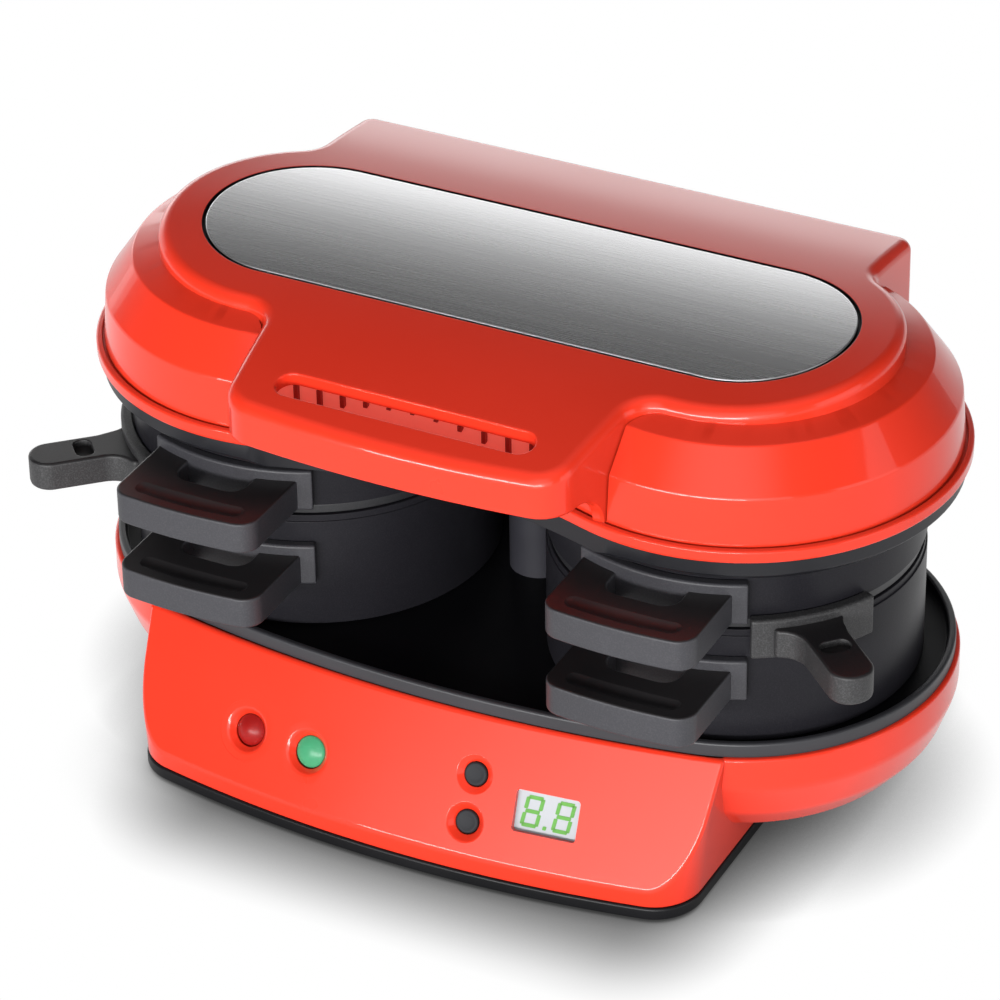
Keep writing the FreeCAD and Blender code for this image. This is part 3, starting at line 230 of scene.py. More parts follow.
class Form:
    """A mesh being modelled, in millimetres about the middle of the lid."""

    def __init__(self) -> None:
        """Start with an empty mesh."""
        self.bm = bmesh.new()

    def everything(self) -> list:
        """All vertices, edges and faces."""
        return self.bm.verts[:] + self.bm.edges[:] + self.bm.faces[:]

    def loose(self) -> list[BMEdge]:
        """Edges that carry no face yet."""
        return [edge for edge in self.bm.edges if edge.is_wire]

    def wire(self, corners: Sequence[Corner], closed: bool = False) -> list[BMEdge]:
        """Section through corners in the plane across the front, each corner rounded by its own bend.

        Args:
            corners: Corners in order.
            closed: Whether the last corner joins the first.

        Returns:
            The section's edges.
        """
        verts = [self.bm.verts.new((0.0, -c.out, c.up)) for c in corners]
        for pair in zip(verts, verts[1:] + (verts[:1] if closed else [])):
            self.bm.edges.new(pair)
        for vert, corner in zip(verts, corners):
            if corner.bend:
                self._bend(vert, corner.bend)
        return self.loose()

    def _bend(self, vert: BMVert, radius: float) -> None:
        """Round one corner of a wire.

        Args:
            vert: The corner.
            radius: Radius of the rounding.
        """
        one, two = [(e.other_vert(vert).co - vert.co).normalized() for e in vert.link_edges]
        angle = one.angle(two)
        segments = max(2, round(math.degrees(math.pi - angle) / BEND_ANGLE))
        bmesh.ops.bevel(self.bm, geom=[vert], offset=radius / math.tan(angle / 2), offset_type="OFFSET",
                        segments=segments, profile=0.5, affect="VERTICES", material=-1)

    def trace(self, track: Track, up: float) -> None:
        """Draw a track as a wire at one height.

        Args:
            track: The outline.
            up: Height.
        """
        tip = self.bm.verts.new((track.start.x, track.start.y, up))
        for step in track.steps:
            if isinstance(step, Run):
                tip = bmesh.ops.extrude_vert_indiv(self.bm, verts=[tip])["verts"][0]
                bmesh.ops.translate(self.bm, verts=[tip], vec=(step.dx, step.dy, 0))
            else:
                last = self._spin([tip], step)
                tip = [item for item in last if isinstance(item, BMVert)][0]

    def _spin(self, geom: list, step: Turn) -> list:
        """Turn geometry about an upright axis.

        Args:
            geom: What is turned.
            step: Centre, angle and number of facets.

        Returns:
            The geometry at the end of the turn.
        """
        return bmesh.ops.spin(self.bm, geom=geom, cent=(step.x, step.y, 0), axis=(0, 0, 1), dvec=(0, 0, 0),
                              angle=math.radians(step.degrees), steps=step.steps, use_merge=False,
                              use_normal_flip=False, use_duplicate=False)["geom_last"]

    def sweep(self, edges: list[BMEdge], steps: Iterable[Union[Run, Turn]]) -> list[BMEdge]:
        """Carry a section along a track.

        Args:
            edges: The section.
            steps: Stretches and arcs in order.

        Returns:
            The section at the end.
        """
        for step in steps:
            if isinstance(step, Run):
                made = bmesh.ops.extrude_edge_only(self.bm, edges=edges)["geom"]
                verts = [item for item in made if isinstance(item, BMVert)]
                bmesh.ops.translate(self.bm, verts=verts, vec=(step.dx, step.dy, 0))
                fresh = set(verts)
                edges = [e for e in made if isinstance(e, BMEdge) and fresh.issuperset(e.verts)]
            else:
                verts = list(dict.fromkeys(v for edge in edges for v in edge.verts))
                edges = [e for e in self._spin(verts + edges, step) if isinstance(e, BMEdge)]
        return edges

    def mould(self, corners: Sequence[Corner], track: Track, rims: Sequence[float] = (),
              start: float = 0.0, closed: bool = False) -> "Form":
        """Carry a section round both halves of a plan and close the openings that it leaves.

        Args:
            corners: Corners of the section.
            track: Right half of the plan.
            rims: Heights of the openings to close.
            start: How far back the section starts.
            closed: Whether the section is a loop.

        Returns:
            The form itself.
        """
        edges = self.wire(corners, closed)
        self.shift(y=start).sweep(edges, track.steps)
        self.mirrored()
        for up in rims:
            self.fill(self.rim(up))
        return self

    def lathe(self, corners: Sequence[Corner], steps: int) -> "Form":
        """Turn a section all the way round the upright axis.

        Args:
            corners: Corners of the section.
            steps: Number of facets.

        Returns:
            The form itself.
        """
        edges = self.wire(corners)
        verts = list(dict.fromkeys(v for edge in edges for v in edge.verts))
        bmesh.ops.spin(self.bm, geom=verts + edges, cent=(0, 0, 0), axis=(0, 0, 1), dvec=(0, 0, 0),
                       angle=math.tau, steps=steps, use_merge=True, use_normal_flip=False,
                       use_duplicate=False)
        return self.tidy()

    def tidy(self) -> "Form":
        """Merge doubles and turn the faces outward.

        Returns:
            The form itself.
        """
        bmesh.ops.remove_doubles(self.bm, verts=self.bm.verts, dist=MERGE)
        bmesh.ops.recalc_face_normals(self.bm, faces=self.bm.faces)
        return self

    def mirrored(self) -> "Form":
        """Add the left half.

        Returns:
            The form itself.
        """
        bmesh.ops.mirror(self.bm, geom=self.everything(), matrix=Matrix.Identity(4), merge_dist=MERGE,
                         axis="X")
        return self

    def rim(self, up: float) -> list[BMEdge]:
        """Open edges at one height."""
        return [e for e in self.bm.edges if e.is_boundary and all(abs(v.co.z - up) < NEAR for v in e.verts)]

    def fill(self, edges: list[BMEdge]) -> list[BMFace]:
        """Close the area between loops.

        Args:
            edges: The loops, the inner ones being holes.

        Returns:
            The new faces.
        """
        made = bmesh.ops.triangle_fill(self.bm, use_beauty=True, use_dissolve=False, edges=edges,
                                       normal=(0, 0, 1))
        return [item for item in made["geom"] if isinstance(item, BMFace)]

    def slab(self, height: float) -> BMFace:
        """Close the loose outline to a face and raise it to a block.

        Args:
            height: How far it rises.

        Returns:
            The top face.
        """
        face = bmesh.ops.edgeloop_fill(self.bm, edges=self.loose())["faces"][0]
        made = bmesh.ops.extrude_face_region(self.bm, geom=[face])["geom"]
        verts = [item for item in made if isinstance(item, BMVert)]
        bmesh.ops.translate(self.bm, verts=verts, vec=(0, 0, height))
        bmesh.ops.recalc_face_normals(self.bm, faces=self.bm.faces)
        return [item for item in made if isinstance(item, BMFace)][0]

    def soften(self, edges: Iterable[BMEdge], width: float, segments: int = 4, clamp: bool = True) -> "Form":
        """Round edges.

        Args:
            edges: Which edges.
            width: Width of the rounding.
            segments: Facets across it.
            clamp: Whether short edges hold the width back.

        Returns:
            The form itself.
        """
        bmesh.ops.bevel(self.bm, geom=list(edges), offset=width, offset_type="OFFSET", segments=segments,
                        profile=0.5, affect="EDGES", material=-1, clamp_overlap=clamp)
        return self

    def sharp(self, least: float = 35.0) -> list[BMEdge]:
        """Edges whose faces meet at more than an angle in degrees."""
        return [e for e in self.bm.edges
                if len(e.link_faces) == 2 and e.calc_face_angle(0.0) > math.radians(least)]

    def upright(self, least: float) -> list[BMEdge]:
        """Edges that rise by more than a height."""
        return [e for e in self.bm.edges if abs(e.verts[0].co.z - e.verts[1].co.z) > least]

    def slice(self, faces: list[BMFace], pitch: float) -> None:
        """Cut faces into strips across the depth, so that they can bend.

        Args:
            faces: Faces to cut.
            pitch: Width of a strip.
        """
        ys = [v.co.y for f in faces for v in f.verts]
        first, last = math.ceil(min(ys) / pitch), math.floor(max(ys) / pitch)
        up = faces[0].verts[0].co.z
        for index in range(first, last + 1):
            flat = [f for f in self.bm.faces if all(abs(v.co.z - up) < NEAR for v in f.verts)]
            parts = [e for f in flat for e in f.edges] + [v for f in flat for v in f.verts]
            bmesh.ops.bisect_plane(self.bm, geom=list(dict.fromkeys(parts)) + flat, dist=CUT_NEAR,
                                   plane_co=(0, index * pitch, 0), plane_no=(0, 1, 0))

    def move(self, matrix: Matrix) -> "Form":
        """Place the form by a matrix."""
        bmesh.ops.transform(self.bm, matrix=matrix, verts=self.bm.verts)
        return self

    def shift(self, x: float = 0.0, y: float = 0.0, z: float = 0.0) -> "Form":
        """Move the form."""
        return self.move(Matrix.Translation((x, y, z)))

    def add(self, other: "Form") -> "Form":
        """Take in another form's mesh.

        Args:
            other: The other form, which is used up.

        Returns:
            The form itself.
        """
        mesh = bpy.data.meshes.new("passing")
        other.bm.to_mesh(mesh)
        other.bm.free()
        self.bm.from_mesh(mesh)
        bpy.data.meshes.remove(mesh)
        return self

    def carve(self, tools: "Form") -> "Form":
        """Cut another form out of this one.

        Args:
            tools: Closed shapes to take away, which are used up.

        Returns:
            The form itself.
        """
        objs = []
        for form in (self, tools):
            mesh = bpy.data.meshes.new("passing")
            form.bm.to_mesh(mesh)
            form.bm.free()
            objs.append(bpy.data.objects.new("passing", mesh))
            bpy.context.scene.collection.objects.link(objs[-1])
        cut = objs[0].modifiers.new("cut", "BOOLEAN")
        cut.operation, cut.solver, cut.object = "DIFFERENCE", "EXACT", objs[1]
        shape = objs[0].evaluated_get(bpy.context.evaluated_depsgraph_get())
        self.bm = bmesh.new()
        self.bm.from_mesh(shape.to_mesh())
        for obj in objs:
            mesh = obj.data
            bpy.data.objects.remove(obj)
            bpy.data.meshes.remove(mesh)
        return self

    def paint(self, index: int, test: Callable[[BMFace], bool]) -> "Form":
        """Give the faces that pass a test another material slot.

        Args:
            index: Material slot.
            test: Says whether a face takes it.

        Returns:
            The form itself.
        """
        for face in self.bm.faces:
            if test(face):
                face.material_index = index
        return self

    def finish(self, name: str, body: str, finishes: Sequence["Finish"], stands_for: Sequence[str] = (),
               slot: str = "", crease: float = 32.0) -> bpy.types.Object:
        """Turn the form into a piece of the object.

        Args:
            name: Name of the piece.
            body: Body that it moves with.
            finishes: Finish of each material slot.
            stands_for: Nodes that it replaces.
            slot: Material slot name; not used.
            crease: Angle in degrees from which an edge shades as sharp.

        Returns:
            The new object.
        """
        self.tidy().shift(y=DEPTH_SHIFT)
        bmesh.ops.scale(self.bm, vec=(MM, MM, MM), verts=self.bm.verts)
        for face in self.bm.faces:
            face.smooth = True
        mesh = bpy.data.meshes.new(name)
        self.bm.to_mesh(mesh)
        self.bm.free()
        mesh.set_sharp_from_angle(angle=math.radians(crease))
        for finish in finishes:
            mesh.materials.append(finish.material())
        obj = bpy.data.objects.new(name, mesh)
        bpy.context.scene.collection.objects.link(obj)
        weigh(obj)
        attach(obj, body)
        if stands_for:
            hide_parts(*stands_for)
        LOG.info("built %s on %s", name, body)
        return obj


def rounded(obj: bpy.types.Object, edge: float) -> None:
    """Round an object's edges without touching its mesh.

    Args:
        obj: The object.
        edge: Width of the rounding.
    """
    weld = obj.modifiers.new("weld", "WELD")
    weld.merge_threshold = WELD_NEAR
    flat = obj.modifiers.new("flatten", "DECIMATE")
    flat.decimate_type, flat.angle_limit = "DISSOLVE", math.radians(FLAT_ANGLE)
    soft = obj.modifiers.new("round", "BEVEL")
    soft.width, soft.segments, soft.limit_method = edge * MM, EDGE_FACETS, "ANGLE"
    soft.angle_limit, soft.use_clamp_overlap = math.radians(EDGE_ANGLE), True


def weigh(obj: bpy.types.Object) -> None:
    """Let large faces lead the shading."""
    normals = obj.modifiers.new("weighted normals", "WEIGHTED_NORMAL")
    normals.keep_sharp = True


class Graph:
    """A node tree being wired."""

    def __init__(self, tree: bpy.types.NodeTree) -> None:
        """Take an empty tree."""
        self.tree = tree

    def node(self, kind: str, **settings: object) -> bpy.types.Node:
        """Add a node and set its properties and inputs.

        Args:
            kind: Type of node.
            settings: Property names, or input names with spaces written as underscores.

        Returns:
            The node.
        """
        made = self.tree.nodes.new(kind)
        for key, setting in settings.items():
            if hasattr(made, key):
                setattr(made, key, setting)
            else:
                self.feed(made.inputs[key.replace("_", " ")], setting)
        return made

    def feed(self, socket: bpy.types.NodeSocket, source: object) -> None:
        """Link an output to a socket, or set the socket's own value.

        Args:
            socket: The socket.
            source: An output, or a value.
        """
        if isinstance(source, bpy.types.NodeSocket):
            self.tree.links.new(source, socket)
        else:
            socket.default_value = source

    def math(self, how: str, one: object, two: object = 0.0) -> bpy.types.NodeSocket:
        """Work out a number.

        Args:
            how: Name of the operation.
            one: First output or value.
            two: Second output or value.

        Returns:
            The result.
        """
        made = self.tree.nodes.new("ShaderNodeMath")
        made.operation = how
        self.feed(made.inputs[0], one)
        self.feed(made.inputs[1], two)
        return made.outputs[0]

    def mix(self, share: object, one: object, two: object) -> bpy.types.NodeSocket:
        """Blend two colours.

        Args:
            share: Share of the second colour.
            one: First colour.
            two: Second colour.

        Returns:
            The blend.
        """
        made = self.tree.nodes.new("ShaderNodeMix")
        made.data_type = "RGBA"
        for socket, source in ((made.inputs[0], share), (made.inputs[6], one), (made.inputs[7], two)):
            self.feed(socket, source)
        return made.outputs[2]

    def spread(self, source: object, low: float, high: float, start: float = 0.0,
               stop: float = 1.0) -> bpy.types.NodeSocket:
        """Map a value from one span to another."""
        return self.node("ShaderNodeMapRange", Value=source, From_Min=start, From_Max=stop, To_Min=low,
                         To_Max=high).outputs[0]


def shared_group(name: str, inputs: Sequence[tuple[str, str, object]], outputs: Sequence[str],
                 wire: Callable[[Graph, dict], dict]) -> bpy.types.NodeTree:
    """Build a node group once.

    Args:
        name: Name of the group.
        inputs: Name, socket type and first value of each input.
        outputs: Names of the value outputs.
        wire: Adds the nodes; takes the graph and the inputs and gives the outputs.

    Returns:
        The group.
    """
    if name in bpy.data.node_groups:
        return bpy.data.node_groups[name]
    tree = bpy.data.node_groups.new(name, "ShaderNodeTree")
    for label, kind, start in inputs:
        socket = tree.interface.new_socket(label, in_out="INPUT", socket_type=kind)
        if start is not None:
            socket.default_value = start
    for label in outputs:
        tree.interface.new_socket(label, in_out="OUTPUT", socket_type="NodeSocketFloat")
    graph = Graph(tree)
    entry = tree.nodes.new("NodeGroupInput")
    leave = tree.nodes.new("NodeGroupOutput")
    made = wire(graph, {socket.name: socket for socket in entry.outputs})
    for label, source in made.items():
        graph.feed(leave.inputs[label], source)
    return tree


def grain_group() -> bpy.types.NodeTree:
    """Moulded grain: fine pits, and slow patches of handling.

    Returns:
        The group.
    """
    def wire(graph: Graph, given: dict) -> dict:
        """Wire the group.

        Args:
            graph: The group's tree.
            given: Its inputs by name.

        Returns:
            Its outputs by name.
        """
        fine = graph.node("ShaderNodeTexNoise", Vector=given["Vector"], Scale=given["Scale"], Detail=3.0,
                          Roughness=0.6).outputs[0]
        slow = graph.node("ShaderNodeTexNoise", Vector=given["Vector"], Scale=given["Patch"], Detail=4.0,
                          Roughness=0.55).outputs[0]
        return {"Pits": fine, "Patch": graph.spread(slow, 0.0, 1.0, 0.3, 0.7)}
    number = "NodeSocketFloat"
    return shared_group("moulded_grain", [("Vector", "NodeSocketVector", None), ("Scale", number, 900.0),
                                          ("Patch", number, 22.0)], ["Pits", "Patch"], wire)


def dust_group() -> bpy.types.NodeTree:
    """Faint dust: specks that gather on faces that look up.

    Returns:
        The group.
    """
    def wire(graph: Graph, given: dict) -> dict:
        """Wire the group.

        Args:
            graph: The group's tree.
            given: Its inputs by name.

        Returns:
            Its outputs by name.
        """
        specks = graph.node("ShaderNodeTexNoise", Vector=given["Vector"], Scale=2600.0, Detail=1.0).outputs[0]
        drift = graph.node("ShaderNodeTexNoise", Vector=given["Vector"], Scale=34.0, Detail=3.0).outputs[0]
        facing = graph.node("ShaderNodeSeparateXYZ", Vector=given["Facing"]).outputs[2]
        bright = graph.spread(specks, 0.0, 1.0, 0.66, 0.78)
        patch = graph.spread(drift, 0.0, 1.0, 0.42, 0.68)
        upward = graph.spread(facing, 0.0, 1.0, 0.3, 0.95)
        share = graph.math("MULTIPLY", graph.math("MULTIPLY", bright, patch), upward)
        return {"Mask": graph.math("MULTIPLY", share, given["Amount"])}
    way = "NodeSocketVector"
    return shared_group("settled_dust", [("Vector", way, None), ("Facing", way, None),
                                         ("Amount", "NodeSocketFloat", 0.2)], ["Mask"], wire)


def brush_group() -> bpy.types.NodeTree:
    """Brushing: long fine streaks along X, broken into strokes.

    Returns:
        The group.
    """
    def wire(graph: Graph, given: dict) -> dict:
        """Wire the group.

        Args:
            graph: The group's tree.
            given: Its inputs by name.

        Returns:
            Its outputs by name.
        """
        fine = graph.node("ShaderNodeMapping", Vector=given["Vector"], Scale=(14.0, 5200.0, 900.0))
        broad = graph.node("ShaderNodeMapping", Vector=given["Vector"], Scale=(5.0, 700.0, 120.0))
        one = graph.node("ShaderNodeTexNoise", Vector=fine.outputs[0], Scale=1.0, Detail=3.0, Roughness=0.7)
        two = graph.node("ShaderNodeTexNoise", Vector=broad.outputs[0], Scale=1.0, Detail=2.0)
        return {"Fine": graph.spread(one.outputs[0], 0.0, 1.0, 0.25, 0.75),
                "Broad": graph.spread(two.outputs[0], 0.0, 1.0, 0.3, 0.7)}
    return shared_group("brushed_streaks", [("Vector", "NodeSocketVector", None)], ["Fine", "Broad"], wire)


Colour = tuple[float, float, float]
WHITE: Colour = (1.0, 1.0, 1.0)
SPECK_GREY: Colour = (0.35, 0.35, 0.36)
DUST_GREY: Colour = (0.62, 0.6, 0.57)
LEAST_ROUGHNESS = 0.02


def shade(colour: Colour, factor: float) -> tuple[float, float, float, float]:
    """Colour times a factor, with full alpha."""
    return (colour[0] * factor, colour[1] * factor, colour[2] * factor, 1.0)


@dataclass(frozen=True)
class Finish:
    """Moulded plastic: colour that drifts, fine grain, handling marks and a little dust."""

    name: str
    colour: Colour
    roughness: float = 0.35
    grain: float = 900.0
    depth: float = 0.00002
    drift: float = 0.05
    smear: float = 0.06
    speckle: float = 0.0
    dust: float = 0.0
    metallic: float = 0.0
    coat: float = 0.0
    coat_roughness: float = 0.05
    specular: float = 0.5

    def material(self) -> bpy.types.Material:
        """The material, made at first use.

        Returns:
            The material.
        """
        if self.name in bpy.data.materials and bpy.data.materials[self.name].get("dressed"):
            return bpy.data.materials[self.name]
        made = bpy.data.materials.new(self.name)
        made.use_nodes = True
        made["dressed"] = True
        made.node_tree.nodes.clear()
        made.diffuse_color = shade(self.colour, 1.0)
        self.wire(Graph(made.node_tree))
        return made

    def shader(self, graph: Graph) -> bpy.types.Node:
        """Add a Principled shader and its output.

        Args:
            graph: The material's tree.

        Returns:
            The shader.
        """
        node = graph.node("ShaderNodeBsdfPrincipled")
        out = graph.node("ShaderNodeOutputMaterial")
        graph.feed(out.inputs["Surface"], node.outputs[0])
        return node

    def place(self, graph: Graph) -> bpy.types.NodeSocket:
        """Object coordinates."""
        return graph.node("ShaderNodeTexCoord").outputs["Object"]

    def wire(self, graph: Graph) -> None:
        """Wire the plastic.

        Args:
            graph: The material's tree.
        """
        node, spot = self.shader(graph), self.place(graph)
        grain = graph.node("ShaderNodeGroup", node_tree=grain_group())
        graph.feed(grain.inputs["Vector"], spot)
        grain.inputs["Scale"].default_value = self.grain
        pits, patch = grain.outputs["Pits"], grain.outputs["Patch"]
        colour = graph.mix(patch, shade(self.colour, 1 - self.drift), shade(self.colour, 1 + self.drift))
        if self.speckle:
            spots = graph.spread(pits, 0.0, self.speckle, 0.45, 0.75)
            colour = graph.mix(spots, colour, shade(SPECK_GREY, 1.0))
        if self.dust:
            dust = graph.node("ShaderNodeGroup", node_tree=dust_group())
            graph.feed(dust.inputs["Vector"], spot)
            graph.feed(dust.inputs["Facing"], graph.node("ShaderNodeNewGeometry").outputs["Normal"])
            dust.inputs["Amount"].default_value = self.dust
            colour = graph.mix(dust.outputs["Mask"], colour, shade(DUST_GREY, 1.0))
        graph.feed(node.inputs["Base Color"], colour)
        low, high = max(LEAST_ROUGHNESS, self.roughness - self.smear), self.roughness + self.smear
        graph.feed(node.inputs["Roughness"], graph.spread(patch, low, high))
        node.inputs["Metallic"].default_value = self.metallic
        node.inputs["Specular IOR Level"].default_value = self.specular
        node.inputs["Coat Weight"].default_value = self.coat
        node.inputs["Coat Roughness"].default_value = self.coat_roughness
        bump = graph.node("ShaderNodeBump", Strength=1.0, Distance=self.depth, Height=pits)
        graph.feed(node.inputs["Normal"], bump.outputs[0])


@dataclass(frozen=True)
class Shell(Finish):
    """Bright moulded shell that throws a calmer colour on what stands round it."""

    bounce: Colour = (0.3, 0.3, 0.3)

    def wire(self, graph: Graph) -> None:
        """Wire the plastic.

        Args:
            graph: The material's tree.
        """
        super().wire(graph)
        node = [n for n in graph.tree.nodes if n.type == "BSDF_PRINCIPLED"][0]
        colour = node.inputs["Base Color"].links[0].from_socket
        path = graph.node("ShaderNodeLightPath")
        calm = graph.mix(path.outputs["Is Diffuse Ray"], colour, shade(self.bounce, 1.0))
        graph.feed(node.inputs["Base Color"], calm)


@dataclass(frozen=True)
class BrushedSteel(Finish):
    """Sheet steel brushed along its length."""

    fine: float = 0.7
    broad: float = 0.3

    def wire(self, graph: Graph) -> None:
        """Wire the brushed metal.

        Args:
            graph: The material's tree.
        """
        node, spot = self.shader(graph), self.place(graph)
        brush = graph.node("ShaderNodeGroup", node_tree=brush_group())
        graph.feed(brush.inputs["Vector"], spot)
        streak = graph.math("ADD", graph.math("MULTIPLY", brush.outputs["Fine"], self.fine),
                            graph.math("MULTIPLY", brush.outputs["Broad"], self.broad))
        graph.feed(node.inputs["Base Color"], graph.mix(streak, shade(self.colour, 1 - self.drift),
                                                        shade(self.colour, 1 + self.drift)))
        graph.feed(node.inputs["Roughness"], graph.spread(streak, self.roughness - self.smear,
                                                          self.roughness + self.smear))
        node.inputs["Metallic"].default_value = 1.0
        bump = graph.node("ShaderNodeBump", Strength=1.0, Distance=self.depth, Height=streak)
        graph.feed(node.inputs["Normal"], bump.outputs[0])


@dataclass(frozen=True)
class Lens(Finish):
    """Tinted plastic with a faint inner glow, for lamps and digits, and for the hollow of the grip slot,
    where the paler colour and the glow are painted light.
    """

    glow: float = 0.0
    scatter: float = 0.25

    def wire(self, graph: Graph) -> None:
        """Wire the tinted plastic.

        Args:
            graph: The material's tree.
        """
        super().wire(graph)
        node = [n for n in graph.tree.nodes if n.type == "BSDF_PRINCIPLED"][0]
        node.inputs["Emission Color"].default_value = shade(self.colour, 1.0)
        node.inputs["Emission Strength"].default_value = self.glow
        node.inputs["Subsurface Weight"].default_value = self.scatter
        node.inputs["Subsurface Radius"].default_value = (MM, MM, MM)


RED = Shell("red_gloss", (0.80, 0.036, 0.014), roughness=0.3, grain=420.0, depth=0.000006, drift=0.02,
            smear=0.03, dust=0.03, coat=0.5, coat_roughness=0.05, specular=0.15,
            bounce=(0.36, 0.22, 0.21))
BLACK = Finish("black_satin", (0.008, 0.008, 0.0105), roughness=0.42, grain=1500.0, depth=0.00001,
               drift=0.12, dust=0.03, specular=0.35)
FOOT_BLACK = Finish("foot_satin", (0.004, 0.004, 0.005), roughness=0.42, grain=1500.0, depth=0.00001,
                    drift=0.1, dust=0.02, specular=0.3)
# Painted light: a lighter copy of the black plastic for the hinge tower, which stands in shade under the lid.
LIT_TOWER_BLACK = Finish("tower_black_painted_light", (0.027, 0.0265, 0.033), roughness=0.45, grain=1500.0, depth=0.00001,
                     drift=0.12, dust=0.03)
# Painted light: a paler, pinker red and a glow stand in for light and reflection reaching into the grip
# slot's hollow.
SLOT_LIT_RED = Lens("slot_red_painted_light", (0.86, 0.15, 0.11), roughness=0.4, grain=420.0, depth=0.000006, drift=0.05,
                glow=0.3)
# Painted shade: a dark copy of the red for the ribs in the slot's hollow.
RIB_SHADE_RED = Finish("rib_red_painted_shade", (0.30, 0.012, 0.008), roughness=0.4, grain=420.0, depth=0.000006, drift=0.05)
# Painted light: a lighter copy of the black for the tray's lit border.
LIT_BORDER_BLACK = Finish("border_painted_light", (0.026, 0.026, 0.03), roughness=0.42, grain=1400.0, depth=0.00001,
                      drift=0.1, dust=0.03)
# Painted shade: near-black with little sheen, for the gap round the steel plate and the tray's floor in the
# shade under the lid.
SHADE_BLACK = Finish("painted_shade_black", (0.0025, 0.0025, 0.0035), roughness=0.5, grain=1300.0, depth=0.000008,
                    drift=0.1, dust=0.01, specular=0.12)
GRIP_TOP = Finish("grip_top", (0.0135, 0.012, 0.013), roughness=0.42, grain=1700.0, depth=0.000012,
                  drift=0.2, dust=0.02)
GRIP_SIDE = Finish("grip_side", (0.028, 0.0275, 0.033), roughness=0.5, grain=2100.0, depth=0.00003,
                   drift=0.1, speckle=0.06)
STUB_SIDE = Finish("stub_side", (0.019, 0.0185, 0.0195), roughness=0.55, grain=2300.0, depth=0.00004,
                   drift=0.12, speckle=0.12)
STUB_TOP = Finish("stub_top", (0.009, 0.008, 0.009), roughness=0.45, grain=1900.0, depth=0.00002,
                  drift=0.2, speckle=0.02)
COATING = Finish("ring_coat", (0.011, 0.0105, 0.0135), roughness=0.42, grain=2600.0, depth=0.00002,
                 drift=0.08, speckle=0.02, dust=0.02, specular=0.14)
PLATE_COAT = Finish("plate_coat", (0.014, 0.014, 0.016), roughness=0.4, grain=2200.0, depth=0.00002,
                    drift=0.1, speckle=0.03)
ALUMINIUM = Finish("cast_aluminium", (0.42, 0.42, 0.43), roughness=0.42, grain=1500.0, depth=0.00003,
                   drift=0.08, metallic=1.0)
STEEL = BrushedSteel("brushed_steel", (0.78, 0.78, 0.79), roughness=0.27, depth=0.000002, drift=0.05,
                     smear=0.015)
PLATE_EDGE = Finish("plate_edge", (0.72, 0.72, 0.73), roughness=0.35, grain=1800.0, depth=0.000001,
                    metallic=1.0)
PLAIN_STEEL = Finish("plain_steel", (0.5, 0.5, 0.52), roughness=0.3, grain=1800.0, depth=0.00001,
                     metallic=1.0)
RUBBER = Finish("foot_rubber", (0.02, 0.02, 0.021), roughness=0.8, grain=1400.0, depth=0.00004,
                drift=0.15, dust=0.1)
RED_LENS = Lens("red_lens", (0.30, 0.008, 0.007), roughness=0.3, grain=300.0, depth=0.000004,
                specular=0.25, glow=0.02)
GREEN_LENS = Lens("green_lens", (0.06, 0.31, 0.15), roughness=0.3, grain=300.0, depth=0.000004,
                  specular=0.25, glow=0.06)
DISPLAY = Finish("display_face", (0.44, 0.45, 0.475), roughness=0.65, grain=700.0, depth=0.000006,
                 drift=0.08, specular=0.05)
DIGIT = Lens("digit_green", (0.14, 0.35, 0.085), roughness=0.65, grain=500.0, specular=0.05, glow=0.03)
BUTTON = Finish("button_matte", (0.017, 0.018, 0.021), roughness=0.6, grain=1900.0, depth=0.00002,
                drift=0.12, specular=0.25)
BOARD = Finish("board_green", (0.02, 0.09, 0.04), roughness=0.45, grain=900.0, drift=0.2)


